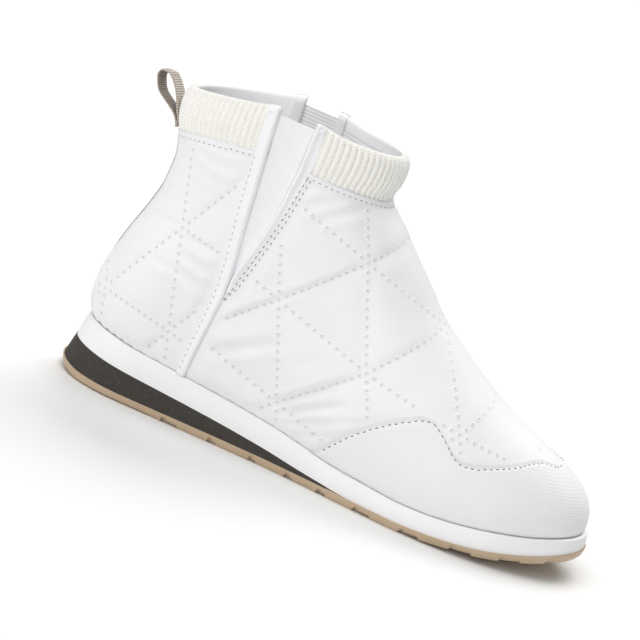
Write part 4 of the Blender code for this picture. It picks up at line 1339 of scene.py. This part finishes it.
loop_x = moved[..., 0] + (LOOP_TURN * ease(*LOOP_FREE, path[:, 1]))[:, None] * flat[None]
loop_points = np.stack([loop_x, np.broadcast_to(flat, loop_x.shape), moved[..., 1]], axis=-1)
loop_uv = np.stack(np.broadcast_arrays(flat[None], loop_run[:, None]), axis=-1)
loop_faces = grid_faces(LOOP_POINTS, LOOP_SIDES + 1)
# Faces on the loop's inner side get the darker copy of the webbing: painted shade inside the loop.
loop_shaded_half = WEBBING_PAINTED_SHADE, np.arange(len(loop_faces)) % LOOP_SIDES < LOOP_SIDES // 2
add_piece("pull_loop_ribbon", loop_points, loop_faces, WEBBING, loop_uv, loop_shaded_half,
          replaces=("pull_loop",))

# %% [markdown]
# ## The sole
#
# The sole is a sandwich: a gum outsole with lugs, a black foam wedge under the heel and arch, and a white
# foam midsole that cups the upper.  Each layer is a stack of outlines: the plan of the sole, moved inwards
# a little at each level, so the sides flare and their edges are round.  Rows that shrink to the middle
# line close it above and below.

# %% Outlines of the sole
HEEL_LEAN = 45.0
WEDGE_END = 147.0


def plan(count, length=SOLE_LENGTH):
    """Outline of the sole, outer side from heel to toe and inner side back, with its inward normals."""
    if length < SOLE_LENGTH:
        x = length * (1.0 - np.cos(np.pi / 2.0 * np.linspace(0.0, 1.0, count)))
        back_x = x[::-1]
    else:
        x = length * (1.0 - np.cos(np.pi * np.linspace(0.0, 1.0, count))) / 2.0
        back_x = x[-2::-1]
    outline = np.concatenate([np.stack([x, sole("centre", x) - sole_half(x)], axis=1),
                              np.stack([back_x, sole("centre", back_x) + sole_half(back_x)], axis=1)])
    ring = outline[:-1]
    way = np.roll(ring, -1, axis=0) - np.roll(ring, 1, axis=0)
    inward = np.stack([-way[:, 1], way[:, 0]], axis=1)
    if length < SOLE_LENGTH:
        inward[count - 1:count + 1, 0] = 0.0
    inward = unit(inward)
    return outline, np.concatenate([inward, inward[:1]])


def stack_rows(shape, rows):
    """Slab points: a row is an inset at side and heel, a level along x and a shrink to the middle line."""
    outline, inward = shape
    lean = 1.0 - ease(0.0, HEEL_LEAN, outline[:, :1])
    loops = []
    for side_inset, heel_inset, level, shrink in rows:
        edge = outline + (side_inset + heel_inset * lean) * inward
        low, high = edge[:, 0].min(), edge[:, 0].max()
        middle_x = low + (high - low) * outline[:, 0] / outline[:, 0].max()
        middle = np.stack([middle_x, sole("centre", middle_x)], axis=1)
        place = edge * (1.0 - shrink) + middle * shrink
        loops.append(np.column_stack([place, level(place[:, 0])]))
    return np.array(loops)


def add_slab(name, loops, finish, node, sharp):
    """Closed slab from its loops, laid one above another."""
    add_piece(name, loops, grid_faces(*loops.shape[:2]), finish, sharp=sharp, replaces=(node,))


def between(low, high, share):
    """Level between two others."""
    return lambda x: low(x) + (high(x) - low(x)) * share


print("sole outline:", len(plan(10)[0]), "points for 10 stations")

# %% Foam and wedge
FOAM_STATIONS = 220
FOAM_ROUND = 1.3
FOAM_BULGE = 0.4
LAYER_SINK = 0.1
# Insets at side and heel where a layer begins, and what its flare has added to them at its top.
FOAM_INSET, FOAM_FLARE = np.array([0.9, 2.7]), np.array([0.6, 1.5])
WEDGE_INSET, WEDGE_FLARE = np.array([0.3, 0.8]), np.array([0.6, 1.7])
FOOT_SHRINKS, TOP_SHRINKS = (1.0, 0.4, 0.05), (0.3, 1.0)
FOAM_LEVELS, ROUND_LEVELS, WEDGE_LEVELS = 9, 6, 6
FOAM_SHARP = 50.0


def height_of(name, add=0.0):
    """Level of one line of the sole's table, moved up by a little."""
    return lambda x: sole(name, x) + add


def foam_foot(x):
    """Underside of the foam: the higher of the wedge's and the gum's top, with a little overlap."""
    return np.maximum(sole("gum_top", x), sole("wedge_top", x)) - LAYER_SINK


def flared(inset, flare, foot, top, levels, bulge=0.0):
    """Rows of a layer from its closed underside up its flared side, which may bulge half-way."""
    rows = [(*inset, foot, shrink) for shrink in FOOT_SHRINKS]
    for share in np.linspace(0.0, 1.0, levels):
        at_side, at_heel = inset + flare * share
        rows.append((at_side - bulge * np.sin(np.pi * share), at_heel, between(foot, top, share), 0.0))
    return rows


gum_top, wedge_top, foam_top = height_of("gum_top"), height_of("wedge_top"), height_of("foam_top")
foam_shoulder, wedge_foot = height_of("foam_top", -FOAM_ROUND), height_of("gum_top", -LAYER_SINK)
foam_rows = flared(FOAM_INSET, FOAM_FLARE, foam_foot, foam_shoulder, FOAM_LEVELS, FOAM_BULGE)
at_side, at_heel = FOAM_INSET + FOAM_FLARE
for turn in np.linspace(0.0, np.pi / 2.0, ROUND_LEVELS)[1:]:
    inset = at_side + FOAM_ROUND * (1.0 - np.cos(turn))
    foam_rows.append((inset, at_heel, between(foam_shoulder, foam_top, np.sin(turn)), 0.0))
foam_rows += [(at_side + FOAM_ROUND, at_heel, foam_top, shrink) for shrink in TOP_SHRINKS]
foam_loops = stack_rows(plan(FOAM_STATIONS), foam_rows)
add_slab("midsole_foam", foam_loops, FOAM, "midsole", FOAM_SHARP)

wedge_rows = flared(WEDGE_INSET, WEDGE_FLARE, wedge_foot, wedge_top, WEDGE_LEVELS)
wedge_rows += [(*(WEDGE_INSET + WEDGE_FLARE), wedge_top, shrink) for shrink in TOP_SHRINKS]
wedge_loops = stack_rows(plan(FOAM_STATIONS, WEDGE_END), wedge_rows)
add_slab("heel_wedge_foam", wedge_loops, BLACK, "heel_wedge", FOAM_SHARP)

# %% Outsole
GUM_STATIONS = 1100
# Gaps between the lugs at the side edge, from x to x.
LUG_GAPS = ((62, 71), (86.5, 91), (108, 112), (127.2, 131.4), (144.2, 149),
            (163.4, 172.2), (187.3, 197), (212, 222.6), (235.4, 245), (256, 262))
LUG_DEPTH, NOTCH_DEPTH, LUG_EDGE = 1.7, 2.4, 1.2
# Across the sole, the gaps are cut to full depth near the edge and are a shallow web further in.
WEB_SHARE, WEB_SHRINKS, CUT_SHRINKS = 0.2, (1.0, 0.7, 0.4, 0.035), (0.03, 0.015, 0.0)
# Insets of the tread, of the lugs' edge and of the flank above it, and of all of them at the heel.
TREAD_INSET, EDGE_INSET, FLANK_INSET, GUM_HEEL = 1.4, 0.5, 0.1, 0.4
FLANK_SHARE = 0.6
# Saw teeth round the heel's edge, and the x over which they end.
TOOTH_PITCH, TOOTH_HEIGHT, TOOTH_END = 1.35, 0.75, (54.0, 58.0)
TOOTHED_ROWS = slice(5, 7)
GUM_SHARP = 30.0

# A gap begins with a deeper notch, goes on as a flat roof and slopes to the next lug.
NOTCH_AT, SLOPE_AT = (-0.4, 0.0, 1.6, 2.5), (-0.9, -0.25)
gap_x = np.concatenate([[a + x for x in NOTCH_AT] + [b + x for x in SLOPE_AT] for a, b in LUG_GAPS])
gap_rise = np.tile((0.0, NOTCH_DEPTH, NOTCH_DEPTH, LUG_DEPTH, LUG_DEPTH, 0.0), len(LUG_GAPS))


def tread_level(share, least=0.0):
    """Level along the tread: the lugs' faces, raised in each gap by a share of its depth or a least rise."""
    return lambda x: sole("bottom", x) + np.maximum(share * np.interp(x, gap_x, gap_rise), least)


web, tread, lug_edge = tread_level(WEB_SHARE), tread_level(1.0), tread_level(1.0, LUG_EDGE)
gum_rows = [(TREAD_INSET, GUM_HEEL, web, shrink) for shrink in WEB_SHRINKS]
gum_rows += [(TREAD_INSET, GUM_HEEL, tread, shrink) for shrink in CUT_SHRINKS]
gum_rows.append((EDGE_INSET, GUM_HEEL, lug_edge, 0.0))
gum_rows.append((FLANK_INSET, GUM_HEEL, between(lug_edge, gum_top, FLANK_SHARE), 0.0))
gum_rows += [(0.0, GUM_HEEL, gum_top, shrink) for shrink in (0.0, *TOP_SHRINKS)]
gum_loops = stack_rows(plan(GUM_STATIONS), gum_rows)
outline_run = run_length(gum_loops, 1)[-3]
from_heel = np.minimum(outline_run, outline_run[-1] - outline_run)
teeth = TOOTH_HEIGHT * np.abs(2.0 * (from_heel / TOOTH_PITCH % 1.0) - 1.0)
gum_loops[TOOTHED_ROWS, :, 2] += teeth * (1.0 - ease(*TOOTH_END, gum_loops[-3][:, 0]))
add_slab("outsole_gum", gum_loops, GUM, "outsole", GUM_SHARP)
